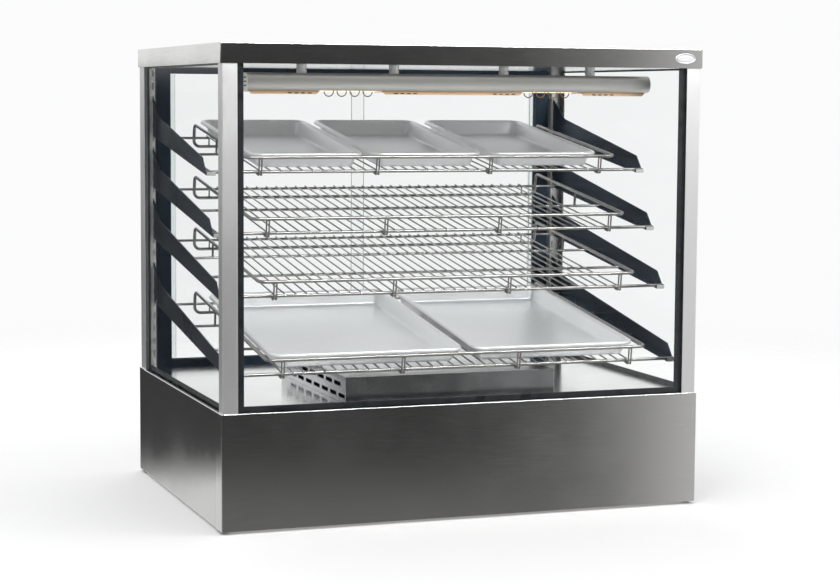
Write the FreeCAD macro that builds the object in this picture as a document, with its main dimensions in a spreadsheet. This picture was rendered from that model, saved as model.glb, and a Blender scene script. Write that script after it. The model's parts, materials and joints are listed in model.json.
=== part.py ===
import FreeCAD, Part
import math
import os
import Sketcher

# Countertop hot food display case: a stainless plinth with the heater and controls, a square
# glass window with four tilted wire shelves hung on slotted uprights, a canopy with a lamp bar,
# and two sliding glass doors at the operator's side.
# Millimetres. +X is the customer's right, +Y the operator's side, +Z up. The origin is on the
# table, at the middle of the case.

doc = FreeCAD.newDocument("hot_food_display_case")
sheet = doc.addObject("Spreadsheet::Sheet", "dims")
nodes = []


class Size:
    """A length that carries its spreadsheet expression along with its value."""

    def __init__(self, text, value):
        self.text = text
        self.value = value

    def __add__(self, other):
        other = as_size(other)
        return Size(f"({self.text} + {other.text})", self.value + other.value)

    def __sub__(self, other):
        other = as_size(other)
        return Size(f"({self.text} - {other.text})", self.value - other.value)

    def __mul__(self, other):
        other = as_size(other)
        return Size(f"({self.text} * {other.text})", self.value * other.value)

    def __truediv__(self, other):
        other = as_size(other)
        return Size(f"({self.text} / {other.text})", self.value / other.value)

    def __neg__(self):
        return as_size(0) - self

    def __radd__(self, other):
        return as_size(other) + self

    def __rsub__(self, other):
        return as_size(other) - self

    def __rmul__(self, other):
        return as_size(other) * self


def as_size(number):
    return number if isinstance(number, Size) else Size(repr(number), float(number))


rows = iter(range(1, 500))


def dimension(alias, value):
    """One driving dimension: a plain number in the sheet, under its alias."""
    row = next(rows)
    sheet.set(f"A{row}", alias)
    sheet.set(f"B{row}", str(value))
    sheet.setAlias(f"B{row}", alias)
    return Size(f"dims.{alias}", float(value))


# ---------------------------------------------------------------- driving dimensions

case_width = dimension("case_width", 900)
case_depth = dimension("case_depth", 650)
foot_rise = dimension("foot_rise", 5)
foot_radius = dimension("foot_radius", 20)
base_height = dimension("base_height", 203)
window_height = dimension("window_height", 593)
canopy_height = dimension("canopy_height", 35)
metal = dimension("sheet_metal", 1.2)
base_return = dimension("base_return", 40)
base_flange = dimension("base_flange", 28)
foot_flange = dimension("foot_flange", 20)
foot_inset_x = dimension("foot_inset_x", 50)
foot_inset_y = dimension("foot_inset_y", 55)
panel_gap = dimension("panel_gap", 0.5)
recess_rim = dimension("recess_rim", 14)
recess_depth = dimension("recess_depth", 22)

post_inset_x = dimension("post_inset_x", 3)
post_inset_y = dimension("post_inset_y", 2)
post_metal = dimension("post_metal", 1.5)
post_face = dimension("post_face", 27)
front_post_side = dimension("front_post_side", 26)
rear_post_side = dimension("rear_post_side", 40)

pane = dimension("glass_pane", 6)
seal_metal = dimension("seal_thickness", 1.5)
seal_side = dimension("seal_side", 31)
seal_foot = dimension("seal_foot", 10.6)
deck_metal = dimension("deck_plate", 2)
deck_side_gap = dimension("deck_side_gap", 1)
front_glass_half = dimension("front_glass_half", 439)
side_glass_rear = dimension("side_glass_rear", 290)
seal_border = dimension("seal_border", 14)
seal_head = dimension("seal_head", 3)

upright_inner = dimension("upright_inner", 423)
upright_outer = dimension("upright_outer", 438)
upright_front = dimension("upright_front", 295)
upright_leg = dimension("upright_leg", 7)
slot_inner = dimension("slot_inner", 425)
slot_width = dimension("slot_width", 3)
slot_tall = dimension("slot_tall", 13)
slot_pitch = dimension("slot_pitch", 25)
slot_first = dimension("slot_first", 24)
slot_count = dimension("slot_count", 23)

stile_inner = dimension("stile_inner", 390)
stile_outer = dimension("stile_outer", 418)
frame_front = dimension("door_frame_front", 303)
frame_rear = dimension("door_frame_rear", 321)
track_low = dimension("track_bottom_tall", 16)
track_high = dimension("track_top_tall", 12)
groove = dimension("groove_width", 6)
groove_deep = dimension("groove_deep", 8)
groove_wall = dimension("groove_wall", 2.5)
door_pane = dimension("door_pane", 4)
door_lap = dimension("door_lap", 12)
door_lift = dimension("door_lift", 0.5)
door_side_gap = dimension("door_side_gap", 1)
door_head_gap = dimension("door_head_gap", 2)
handle_cap = dimension("handle_cap", 0.6)
handle_ridge = dimension("handle_ridge", 3)
grip_left = dimension("grip_left", 0.8)
grip_right = dimension("grip_right", 3.5)
handle_wide = dimension("handle_wide", 9)
handle_wall = dimension("handle_wall", 1.2)

shelf_angle = dimension("shelf_angle", 8)
shelf_ref = dimension("shelf_reference", 285)
first_arm = dimension("first_arm", 423)
arm_step = dimension("arm_step", 48.5)
hook_above = dimension("hook_above_arm", 67)
bracket_inner = dimension("bracket_inner", 425.5)
bracket_metal = dimension("bracket_metal", 2)
bracket_rear_tall = dimension("bracket_rear_tall", 77)
bracket_tall = dimension("bracket_tall", 45)
bracket_nose_tall = dimension("bracket_nose_tall", 27)
bracket_nose_back = dimension("bracket_nose_back", 29)
bracket_lip = dimension("bracket_lip", 7)
flange_wide = dimension("flange_wide", 15)
flange_end = dimension("flange_end", 25)
bracket_knee = dimension("bracket_knee", 49)
bracket_nose = dimension("bracket_nose", 9)
hook_play = dimension("hook_play", 0.3)
hook_gap = dimension("hook_gap", 1)
hook_thick = dimension("hook_thick", 2)
hook_down = dimension("hook_down", 5)
hook_tall = dimension("hook_tall", 7)
tongue_low = dimension("tongue_low", 17.5)
tongue_high = dimension("tongue_high", 25)

wire_fine = dimension("wire_fine_radius", 1.5)
wire_cross = dimension("wire_cross_radius", 2.5)
wire_rail = dimension("wire_rail_radius", 3)
wire_pitch = dimension("wire_pitch", 20)
wire_count = dimension("wire_count", 34)
rack_rear = dimension("rack_rear", 33)
rack_front = dimension("rack_front", 1)
rack_end_gap = dimension("rack_end_gap", 3)
cross_behind = dimension("cross_behind", 5)
dimension("guard_half", 360)
dimension("guard_rise", 33)
dimension("guard_ahead", 8)
dimension("guard_rear", 52)
dimension("guard_bend", 12)
dimension("guard_post_pitch", 220.5)
dimension("guard_post_half", 2.5)
dimension("guard_foot", 0.4)
dimension("guard_pin_radius", 1)
dimension("guard_pin_lift", 0.6)
dimension("guard_pin_long", 16)
dimension("guard_below", 10)
dimension("guard_tie_x", 330)
dimension("weld_gap", 0.1)

tray_rest = dimension("tray_rest", 9.8)
tray_tall = dimension("tray_tall", 29)
tray_taper = dimension("tray_taper", 12)
tray_metal = dimension("tray_metal", 1)
tray_rim = dimension("tray_rim", 5)
loft_over = dimension("loft_over", 0.01)

hood_half = dimension("hood_half", 381)
hood_radius = dimension("hood_radius", 15.3)
hood_axis_y = dimension("hood_axis_y", 235.5)
hood_rear_y = dimension("hood_rear_y", 190)
spacer_tall = dimension("spacer_tall", 14.3)
spacer_radius = dimension("spacer_radius", 9)
spacer_inner = dimension("spacer_inner", 105)
spacer_outer = dimension("spacer_outer", 276)
spacer_back = dimension("spacer_back", 21)
tool_over = dimension("tool_over", 1)
end_cap_thick = dimension("end_cap_thick", 2)
end_cap_drop = dimension("end_cap_drop", 4)
lamp_offset = dimension("lamp_offset", 190)
lamp_length = dimension("lamp_length", 124)
lamp_radius = dimension("lamp_radius", 5)
lamp_y = dimension("lamp_y", 204)
lamp_drop = dimension("lamp_drop", 11)
holder_half = dimension("holder_half", 4)
holder_deep = dimension("holder_deep", 9)
holder_drop = dimension("holder_drop", 16.5)
dimension("lamp_guard_y", 214)
dimension("lamp_guard_lift", -1)
dimension("lamp_guard_low", 8.5)
dimension("lamp_guard_high", 3.5)
dimension("lamp_guard_wire", 1)

cover_left = dimension("cover_left", 216)
cover_right = dimension("cover_right", 181)
cover_front = dimension("cover_front", 285)
cover_rear = dimension("cover_rear", 120)
cover_tall = dimension("cover_tall", 47)
cover_slot_long = dimension("cover_slot_long", 37)
cover_slot_tall = dimension("cover_slot_tall", 7)
cover_slot_pitch = dimension("cover_slot_pitch", 50)
slot_row_low = dimension("slot_row_low", 8)
slot_row_high = dimension("slot_row_high", 27.5)
slot_start_low = dimension("slot_start_low", 5)
slot_start_high = dimension("slot_start_high", 30)
element_turn = dimension("element_turn", 70)
element_tube = dimension("element_tube", 4)
element_low = dimension("element_low", 15)
element_high = dimension("element_high", 26)
element_lead = dimension("element_lead_radius", 3.5)
element_lead_drop = dimension("element_lead_drop", 22)
element_hole = dimension("element_hole", 5.5)
fan_x = dimension("fan_x", -18)
fan_y = dimension("fan_y", -80)
fan_radius = dimension("fan_radius", 55)
motor_radius = dimension("motor_radius", 38)
motor_tall = dimension("motor_tall", 50)
shaft_radius = dimension("shaft_radius", 4)
shaft_hole = dimension("shaft_hole", 12)
shaft_depth = dimension("shaft_depth", 17)
end_gap = dimension("shaft_end_gap", 1)
impeller_lift = dimension("impeller_lift", 6)
impeller_metal = dimension("impeller_metal", 2)
hub_radius = dimension("hub_radius", 15)
hub_tall = dimension("hub_tall", 18)
blade_start = dimension("blade_start", 30)
blade_tall = dimension("blade_tall", 24)
running_gap = dimension("running_gap", 0.05)

control_height = dimension("control_height", 120)
hole_play = dimension("hole_play", 0.2)
thermostat_half = dimension("thermostat_half", 20)
thermostat_deep = dimension("thermostat_deep", 40)
knob_x = dimension("knob_x", -310)
knob_radius = dimension("knob_radius", 17)
knob_lift = dimension("knob_lift", 1)
knob_deep = dimension("knob_deep", 13)
knob_hole = dimension("knob_hole", 6)
pointer_half = dimension("pointer_half", 2)
pointer_deep = dimension("pointer_deep", 4)
spindle_radius = dimension("spindle_radius", 3)
spindle_depth = dimension("spindle_depth", 16)
switch_x = dimension("switch_x", -240)
switch_pitch = dimension("switch_pitch", 40)
switch_hole_wide = dimension("switch_hole_half_wide", 11)
switch_hole_tall = dimension("switch_hole_half_tall", 15)
bezel_wide = dimension("bezel_half_wide", 14)
bezel_tall = dimension("bezel_half_tall", 18)
bezel_thick = dimension("bezel_thick", 2.5)
bezel_deep = dimension("bezel_deep", 20)
well_wide = dimension("well_half_wide", 8)
well_tall = dimension("well_half_tall", 12)
well_deep = dimension("well_deep", 11.5)
rocker_half = dimension("rocker_half_wide", 7.5)
rocker_back = dimension("rocker_back", 4)
rocker_middle = dimension("rocker_middle", 5.5)
rocker_end = dimension("rocker_end", 7.5)
rocker_tall = dimension("rocker_half_tall", 10.5)
rocker_angle = dimension("rocker_angle", 7)
pivot_radius = dimension("pivot_radius", 1.5)
pivot_half = dimension("pivot_half", 8.9)
pivot_depth = dimension("pivot_depth", 5)
gland_x = dimension("gland_x", 330)
gland_height = dimension("gland_height", 50)
gland_radius = dimension("gland_radius", 8)
gland_hexagon = dimension("gland_hexagon", 14)
gland_hexagon_tall = dimension("gland_hexagon_tall", 6)
gland_cap = dimension("gland_cap_radius", 9)
gland_out = dimension("gland_out", 17)
gland_in = dimension("gland_in", 14)
gland_nut = dimension("gland_nut_radius", 13)
gland_nut_thick = dimension("gland_nut_thick", 5)
gland_bore = dimension("gland_bore_radius", 3.5)
screw_radius = dimension("screw_radius", 2)
screw_reach = dimension("screw_reach", 415)
screw_inset = dimension("screw_inset", 15)
screw_head = dimension("screw_head", 2)
screw_shank = dimension("screw_shank", 8)
vent_bank_left = dimension("vent_bank_left", -60)
vent_bank_right = dimension("vent_bank_right", 160)
vent_half = dimension("vent_half", 55)
vent_low = dimension("vent_low", 50)
vent_pitch = dimension("vent_pitch", 14)
vent_tall = dimension("vent_tall", 5)
vent_count = dimension("vent_count", 7)
badge_x = dimension("badge_x", 415)
badge_half_wide = dimension("badge_half_wide", 20)
badge_half_tall = dimension("badge_half_tall", 9)
badge_thick = dimension("badge_thick", 0.8)
doc.recompute()

# ---------------------------------------------------------------- derived sizes

half_width = case_width / 2
half_depth = case_depth / 2
base_top = foot_rise + base_height
deck_top = base_top + deck_metal
canopy_under = base_top + window_height
canopy_top_z = canopy_under + canopy_height
panel_face = half_depth - recess_depth
post_x = half_width - post_inset_x
post_y = half_depth - post_inset_y
glass_front = post_y - post_metal
glass_side = post_x - post_metal
seal_front = glass_front - pane
seal_plane = glass_side - pane
slope = Size(f"tan({shelf_angle.text} * 1 deg)", math.tan(math.radians(shelf_angle.value)))
level = Size(f"cos({shelf_angle.text} * 1 deg)", math.cos(math.radians(shelf_angle.value)))
hood_axis_z = canopy_under - spacer_tall - hood_radius

# Each shelf hangs from one slot of the uprights, counted from the lowest, and each arm is one
# step longer than the one above it.
SHELVES = {"shelf_1": 20, "shelf_2": 16, "shelf_3": 12, "shelf_4": 7}


def arm_length(shelf):
    return first_arm + arm_step * (list(SHELVES).index(shelf))


def hook_height(shelf):
    return base_top + slot_first + slot_pitch * SHELVES[shelf]


def cross_places(shelf):
    """Where the rack's wires that run along X lie: evenly, behind the one at the front."""
    spans = 2 if shelf in ("shelf_1", "shelf_2") else 3
    rear = -rack_rear - cross_behind
    front = rack_front + wire_rail - arm_length(shelf)
    return [rear + (front - rear) * step / spans for step in range(spans)]


def arm_height(shelf):
    """Height of the arm's underside where it reaches the shelf reference line."""
    return hook_height(shelf) - hook_above


# ---------------------------------------------------------------- helpers


def bind(item, path, size):
    item.setExpression(path, as_size(size).text)


def place(item, x, y, z):
    for axis, size in zip("xyz", (x, y, z)):
        bind(item, f"Placement.Base.{axis}", size)


def add_node(item, label):
    item.Label = label
    nodes.append(item)
    return item


def box(x, y, z):
    """A block from three (low, high) pairs."""
    item = doc.addObject("Part::Box", "block")
    for path, (low, high) in zip(("Length", "Width", "Height"), (x, y, z)):
        bind(item, path, as_size(high) - low)
    place(item, x[0], y[0], z[0])
    return item


def cylinder(radius, start, length, axis="z"):
    """A round bar from start along one axis."""
    item = doc.addObject("Part::Cylinder", "bar")
    turn = {"z": (0, 0, 1, 0), "x": (0, 1, 0, 90), "y": (1, 0, 0, -90)}[axis]
    item.Placement = FreeCAD.Placement(
        FreeCAD.Vector(), FreeCAD.Rotation(FreeCAD.Vector(*turn[:3]), turn[3]))
    bind(item, "Radius", radius)
    bind(item, "Height", length)
    place(item, *start)
    return item


def fuse(items):
    item = doc.addObject("Part::MultiFuse", "joined")
    item.Shapes = items
    item.Refine = True
    return item


def cut(base, tool):
    item = doc.addObject("Part::Cut", "cut")
    item.Base = base
    item.Tool = tool
    return item


def group(items):
    item = doc.addObject("Part::Compound", "group")
    item.Links = items
    return item


def mirrored(source):
    """The same piece, handed for the other side of the case."""
    item = doc.addObject("Part::Mirroring", "mirrored")
    item.Source = source
    item.Normal = FreeCAD.Vector(1, 0, 0)
    return item


def new_body(name):
    return doc.addObject("PartDesign::Body", name)


def origin_part(body, role):
    return next(part for part in body.Origin.OriginFeatures if part.Role == role)


def new_sketch(body, plane, offset=0):
    """A sketch on one of the body's planes; offset is along that plane's normal."""
    sketch = body.newObject("Sketcher::SketchObject", "sketch")
    sketch.AttachmentSupport = [(origin_part(body, plane + "_Plane"), "")]
    sketch.MapMode = "FlatFace"
    bind(sketch, "AttachmentOffset.Base.z", offset)
    return sketch


def pin(sketch, geometry, point, u, v):
    """Hold a point of the sketch at (u, v) from the sketch's origin."""
    for kind, size in (("DistanceX", as_size(u)), ("DistanceY", as_size(v))):
        rule = Sketcher.Constraint(kind, -1, 1, geometry, point, size.value)
        bind(sketch, f"Constraints[{sketch.addConstraint(rule)}]", size)


def polygon(sketch, corners):
    corners = [(as_size(u), as_size(v)) for u, v in corners]
    spots = [FreeCAD.Vector(u.value, v.value, 0) for u, v in corners]
    first = sketch.GeometryCount
    for start, end in zip(spots, spots[1:] + spots[:1]):
        sketch.addGeometry(Part.LineSegment(start, end), False)
    last = first + len(spots) - 1
    for line in range(first, last):
        sketch.addConstraint(Sketcher.Constraint("Coincident", line, 2, line + 1, 1))
    sketch.addConstraint(Sketcher.Constraint("Coincident", last, 2, first, 1))
    for line, corner in zip(range(first, last + 1), corners):
        pin(sketch, line, 1, *corner)


def rectangle(sketch, u, v):
    """A rectangle from two (low, high) pairs."""
    polygon(sketch, [(u[0], v[0]), (u[1], v[0]), (u[1], v[1]), (u[0], v[1])])


def circle(sketch, u, v, radius):
    u, v, radius = as_size(u), as_size(v), as_size(radius)
    middle = FreeCAD.Vector(u.value, v.value, 0)
    index = sketch.addGeometry(Part.Circle(middle, FreeCAD.Vector(0, 0, 1), radius.value), False)
    rule = Sketcher.Constraint("Radius", index, radius.value)
    bind(sketch, f"Constraints[{sketch.addConstraint(rule)}]", radius)
    pin(sketch, index, 3, u, v)


def extrude(body, kind, sketch, length, midplane=False, reverse=False):
    feature = body.newObject("PartDesign::" + kind, kind.lower())
    feature.Profile = sketch
    bind(feature, "Length", length)
    feature.Midplane = midplane
    feature.Reversed = reverse
    return feature


def pad(body, sketch, length, **options):
    return extrude(body, "Pad", sketch, length, **options)


def pocket(body, sketch, length, **options):
    return extrude(body, "Pocket", sketch, length, **options)


def row_of(body, feature, axis, length, count):
    pattern = body.newObject("PartDesign::LinearPattern", "row")
    pattern.Originals = [feature]
    pattern.Direction = (origin_part(body, axis + "_Axis"), [""])
    bind(pattern, "Length", length)
    bind(pattern, "Occurrences", count)
    body.Tip = pattern
    return pattern


def ring_of(body, features, count):
    pattern = body.newObject("PartDesign::PolarPattern", "ring")
    pattern.Originals = features
    pattern.Axis = (origin_part(body, "Z_Axis"), [""])
    pattern.Angle = 360
    pattern.Occurrences = count
    body.Tip = pattern
    return pattern


def prism(name, plane, outlines, length, offset=0, **options):
    """A body that is one padded outline, with further outlines as holes."""
    body = new_body(name)
    sketch = new_sketch(body, plane, offset)
    for outline in outlines:
        polygon(sketch, outline)
    pad(body, sketch, length, **options)
    return body


def on_shelf(item, shelf):
    """Put an item drawn flat, with +Y up the slope from the shelf reference line, on its shelf."""
    item.Placement = FreeCAD.Placement(
        FreeCAD.Vector(0, shelf_ref.value, arm_height(shelf).value),
        FreeCAD.Rotation(FreeCAD.Vector(1, 0, 0), shelf_angle.value))
    bind(item, "Placement.Rotation.Angle", shelf_angle)
    place(item, 0, shelf_ref, arm_height(shelf))
    return item


# ---------------------------------------------------------------- plinth


def make_base_front_panel():
    """Front of the plinth, folded round both corners, with a ledge under the window."""
    body = new_body("base_front_panel")
    sketch = new_sketch(body, "XY", foot_rise)
    inner = half_width - metal
    returned = base_return - half_depth
    polygon(sketch, [
        (-half_width, -half_depth), (half_width, -half_depth), (half_width, returned),
        (inner, returned), (inner, metal - half_depth), (-inner, metal - half_depth),
        (-inner, returned), (-half_width, returned)])
    pad(body, sketch, base_height)
    ledge = new_sketch(body, "XY", base_top - metal)
    rectangle(ledge, (-inner, inner), (metal / 2 - half_depth, metal + base_flange - half_depth))
    pad(body, ledge, metal)
    return body


def make_base_side_panel():
    """Left side of the plinth, a channel between the front and rear returns."""
    outer = -half_width
    wall = outer + metal
    flange = outer + base_flange
    foot = outer + foot_flange
    outline = [
        (outer, foot_rise), (foot, foot_rise), (foot, foot_rise + metal),
        (wall, foot_rise + metal), (wall, base_top - metal), (flange, base_top - metal),
        (flange, base_top), (outer, base_top)]
    length = case_depth - base_return * 2 - panel_gap * 2
    return prism("base_side_panel", "XZ", [outline], length, midplane=True)


def make_base_rear_panel():
    """Rear of the plinth: a recessed control panel with vents, behind a folded rim."""
    body = new_body("base_rear_panel")
    sketch = new_sketch(body, "XY", foot_rise)
    rim = half_width - recess_rim
    start = half_depth - base_return
    right = [
        (rim, panel_face), (rim, half_depth), (half_width, half_depth), (half_width, start),
        (half_width - metal, start), (half_width - metal, half_depth - metal),
        (rim + metal, half_depth - metal), (rim + metal, panel_face - metal)]
    left = [(-u, v) for u, v in reversed(right)]
    polygon(sketch, right + left)
    pad(body, sketch, base_height)
    ledge = new_sketch(body, "XY", base_top - metal)
    inner = half_width - metal
    rectangle(ledge, (-inner, inner), (start, half_depth - metal / 2))
    pad(body, ledge, metal)
    holes = new_sketch(body, "XZ", -panel_face)
    circle(holes, knob_x, control_height, knob_hole)
    for middle in switch_places():
        rectangle(holes, (middle - switch_hole_wide, middle + switch_hole_wide),
                  (control_height - switch_hole_tall, control_height + switch_hole_tall))
    circle(holes, gland_x, gland_height, gland_radius + hole_play)
    for x, z in screw_places():
        circle(holes, x, z, screw_radius + hole_play)
    pocket(body, holes, metal * 3, midplane=True)
    for bank in (vent_bank_left, vent_bank_right):
        vents = new_sketch(body, "XZ", -panel_face)
        rectangle(vents, (bank - vent_half, bank + vent_half), (vent_low, vent_low + vent_tall))
        vent = pocket(body, vents, metal * 3, midplane=True)
        row_of(body, vent, "Z", vent_pitch * (vent_count - 1), vent_count)
    return body


def switch_places():
    return [switch_x, switch_x + switch_pitch]


def screw_places():
    return [(screw_reach * side, height) for side in (-1, 0, 1)
            for height in (foot_rise + screw_inset, base_top - screw_inset)]


def make_floor_pan():
    edge = half_width - recess_rim - metal
    return box((-edge, edge), (metal - half_depth, panel_face - metal),
               (foot_rise + metal, foot_rise + metal * 2))


def make_deck_plate():
    """Heated deck, pierced for the fan shaft and the element's two ends."""
    edge = upright_outer - deck_side_gap
    front = panel_gap + seal_metal - seal_front
    plate = box((-edge, edge), (front, frame_front - panel_gap), (base_top, deck_top))
    below = base_top - tool_over
    deep = deck_metal + tool_over * 2
    holes = [cylinder(shaft_hole, (fan_x, fan_y, below), deep)]
    for side in (-1, 1):
        holes.append(cylinder(element_hole, (fan_x + element_turn * side, fan_y, below), deep))
    return cut(plate, fuse(holes))


def make_feet():
    reach_x = half_width - foot_inset_x
    reach_y = half_depth - foot_inset_y
    return group([cylinder(foot_radius, (reach_x * sx, reach_y * sy, 0), foot_rise + metal)
                  for sx in (-1, 1) for sy in (-1, 1)])


add_node(make_base_front_panel(), "base_front_panel")
side_panel = add_node(make_base_side_panel(), "base_side_panel_left")
add_node(mirrored(side_panel), "base_side_panel_right")
add_node(make_base_rear_panel(), "base_rear_panel")
add_node(make_floor_pan(), "base_floor_pan")
add_node(make_deck_plate(), "deck_plate")
add_node(make_feet(), "feet")

# ---------------------------------------------------------------- canopy, posts and glass


def make_canopy_top():
    """Folded lid: a top sheet with a deep skirt on all four sides."""
    body = new_body("canopy_top")
    sketch = new_sketch(body, "XY", canopy_under)
    rectangle(sketch, (-half_width, half_width), (-half_depth, half_depth))
    pad(body, sketch, canopy_height)
    hollow = new_sketch(body, "XY", canopy_under)
    rectangle(hollow, (metal - half_width, half_width - metal),
              (metal - half_depth, half_depth - metal))
    pocket(body, hollow, canopy_height - metal, reverse=True)
    return body


def make_ceiling():
    edge_x = half_width - metal
    edge_y = half_depth - metal
    return box((-edge_x, edge_x), (-edge_y, edge_y), (canopy_under, canopy_under + metal))


def make_post(name, side_length, face):
    """Left corner post, an angle; face is -1 for the front of the case and 1 for the rear."""
    outer_y = post_y * face
    inner_y = (post_y - post_metal) * face
    end_y = (post_y - side_length) * face
    outline = [
        (-post_x, outer_y), (post_face - post_x, outer_y), (post_face - post_x, inner_y),
        (post_metal - post_x, inner_y), (post_metal - post_x, end_y), (-post_x, end_y)]
    return prism(name, "XY", [outline], window_height, offset=base_top)


def make_side_glass():
    return box((-glass_side, pane - glass_side), (panel_gap - glass_front, side_glass_rear),
               (base_top, canopy_under))


def make_front_seal():
    """Black border behind the front pane: both sides and the foot, open at the top."""
    outer = upright_outer + panel_gap
    inner = upright_outer + panel_gap - seal_side
    foot = base_top + seal_foot
    outline = [
        (-outer, canopy_under), (-outer, base_top), (outer, base_top), (outer, canopy_under),
        (inner, canopy_under), (inner, foot), (-inner, foot), (-inner, canopy_under)]
    return prism("front_seal", "XZ", [outline], seal_metal, offset=seal_front - seal_metal)


def make_side_seal():
    """Black border inside the left pane, a closed frame."""
    front = seal_metal - seal_front
    rear = side_glass_rear
    outer = [(front, base_top), (rear, base_top), (rear, canopy_under), (front, canopy_under)]
    low = base_top + seal_foot
    high = canopy_under - seal_head
    inner = [(front + seal_border, low), (rear - seal_border, low),
             (rear - seal_border, high), (front + seal_border, high)]
    return prism("side_seal", "YZ", [outer, inner], seal_metal, offset=-seal_plane)


def make_badge():
    oval = doc.addObject("Part::Ellipse", "oval")
    oval.Placement = FreeCAD.Placement(
        FreeCAD.Vector(), FreeCAD.Rotation(FreeCAD.Vector(1, 0, 0), 90))
    bind(oval, "MajorRadius", badge_half_wide)
    bind(oval, "MinorRadius", badge_half_tall)
    place(oval, badge_x, -half_depth, canopy_under + canopy_height / 2)
    plate = doc.addObject("Part::Extrusion", "badge")
    plate.Base = oval
    plate.DirMode = "Custom"
    plate.Dir = FreeCAD.Vector(0, -1, 0)
    plate.Solid = True
    bind(plate, "LengthFwd", badge_thick)
    return plate


add_node(make_canopy_top(), "canopy_top")
add_node(make_ceiling(), "canopy_ceiling")
front_post = add_node(make_post("front_post", front_post_side, -1), "front_post_left")
add_node(mirrored(front_post), "front_post_right")
rear_post = make_post("rear_post", rear_post_side, 1)
add_node(group([rear_post, mirrored(rear_post)]), "rear_posts")
add_node(box((-front_glass_half, front_glass_half), (-glass_front, pane - glass_front),
             (base_top, canopy_under)), "front_glass")
side_glass = add_node(make_side_glass(), "side_glass_left")
add_node(mirrored(side_glass), "side_glass_right")
side_seal = make_side_seal()
add_node(group([make_front_seal(), side_seal, mirrored(side_seal)]), "glass_seals")
add_node(make_badge(), "badge_plate")

# ---------------------------------------------------------------- slotted uprights


def make_upright():
    """Left shelf standard: a channel with one row of slots in its front face."""
    body = new_body("slotted_upright")
    sketch = new_sketch(body, "XY", deck_top)
    rear = upright_front + upright_leg
    inner = -upright_inner
    outer = -upright_outer
    polygon(sketch, [
        (outer, upright_front), (inner, upright_front), (inner, rear),
        (inner - post_metal, rear), (inner - post_metal, upright_front + post_metal),
        (outer + post_metal, upright_front + post_metal), (outer + post_metal, rear),
        (outer, rear)])
    pad(body, sketch, canopy_under - deck_top)
    hole = new_sketch(body, "XZ", -upright_front)
    first = base_top + slot_first
    rectangle(hole, (-slot_inner - slot_width, -slot_inner), (first, first + slot_tall))
    slot = pocket(body, hole, post_metal * 3, midplane=True)
    row_of(body, slot, "Z", slot_pitch * (slot_count - 1), slot_count)
    return body


upright = add_node(make_upright(), "slotted_upright_left")
add_node(mirrored(upright), "slotted_upright_right")

# ---------------------------------------------------------------- rear frame and sliding doors

PLANES = {"inner": frame_front + groove_wall, "outer": frame_rear - groove_wall - groove}


def make_stile():
    outer = [(-stile_outer, frame_front), (-stile_inner, frame_front),
             (-stile_inner, frame_rear), (-stile_outer, frame_rear)]
    inner = [(post_metal - stile_outer, frame_front + post_metal),
             (-stile_inner - post_metal, frame_front + post_metal),
             (-stile_inner - post_metal, frame_rear - post_metal),
             (post_metal - stile_outer, frame_rear - post_metal)]
    return prism("rear_stile", "XY", [outer, inner], window_height, offset=base_top)


def make_track(name, closed, opened):
    """A door track with two grooves, from its closed side to its grooved side."""
    floor = opened - groove_deep if opened.value > closed.value else opened + groove_deep
    outline = [(frame_front, closed), (frame_front, opened)]
    for start in PLANES.values():
        outline += [(start, opened), (start, floor), (start + groove, floor),
                    (start + groove, opened)]
    outline += [(frame_rear, opened), (frame_rear, closed)]
    length = stile_inner * 2 - panel_gap
    return prism(name, "YZ", [outline], length, midplane=True)


def make_door(side, plane):
    """Door glass, standing in both grooves; side is -1 for the left door."""
    near = -door_lap * side
    far = (stile_inner - door_side_gap) * side
    low, high = sorted((near, far), key=lambda size: size.value)
    front = PLANES[plane] + (groove - door_pane) / 2
    foot = base_top + track_low - groove_deep + door_lift
    head = canopy_under - track_high + groove_deep - door_head_gap
    return box((low, high), (front, front + door_pane), (foot, head))


def make_door_handle(side, plane, grip):
    """Edge profile over the door's outer edge, with a finger ridge of depth grip."""
    front = PLANES[plane] + (groove - door_pane) / 2
    rear = front + door_pane
    edge = (stile_inner - door_side_gap) * side
    cap = edge + handle_cap * side
    inner = edge - handle_wide * side
    ridge = inner + handle_ridge * side
    outline = [
        (cap, front - handle_wall), (inner, front - handle_wall), (inner, front), (edge, front),
        (edge, rear), (inner, rear), (inner, rear + handle_wall + grip),
        (ridge, rear + handle_wall + grip), (ridge, rear + handle_wall), (cap, rear + handle_wall)]
    foot = base_top + track_low + door_side_gap
    head = canopy_under - track_high - door_side_gap
    return prism("door_handle", "XY", [outline], head - foot, offset=foot)


stile = make_stile()
add_node(group([stile, mirrored(stile)]), "rear_stiles")
add_node(make_track("track", base_top, base_top + track_low), "door_track_bottom")
add_node(make_track("track", canopy_under, canopy_under - track_high), "door_track_top")
add_node(make_door(-1, "inner"), "rear_door_left")
add_node(make_door(1, "outer"), "rear_door_right")
add_node(make_door_handle(-1, "inner", grip_left), "door_handle_left")
add_node(make_door_handle(1, "outer", grip_right), "door_handle_right")

# ---------------------------------------------------------------- lamp bar


def rounded_bar(radius, rear, start, length, low):
    """A bar along X with a round nose at the front and a square back."""
    nose = cylinder(radius, (start, -hood_axis_y, hood_axis_z), length, "x")
    back = box((start, start + length), (-hood_axis_y, rear), (low, hood_axis_z + radius))
    return fuse([nose, back])


def make_lamp_hood():
    """Bull-nosed hood, a shell that is open underneath."""
    low = hood_axis_z - hood_radius
    outer = rounded_bar(hood_radius, -hood_rear_y, -hood_half, hood_half * 2, low)
    reach = hood_half + tool_over
    hollow = rounded_bar(hood_radius - metal, -hood_rear_y - metal, -reach, reach * 2, low + metal)
    mouth = box((-reach, reach), (-hood_axis_y, -hood_rear_y - metal * 3),
                (low - tool_over, low + metal * 2))
    return cut(outer, fuse([hollow, mouth]))


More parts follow.
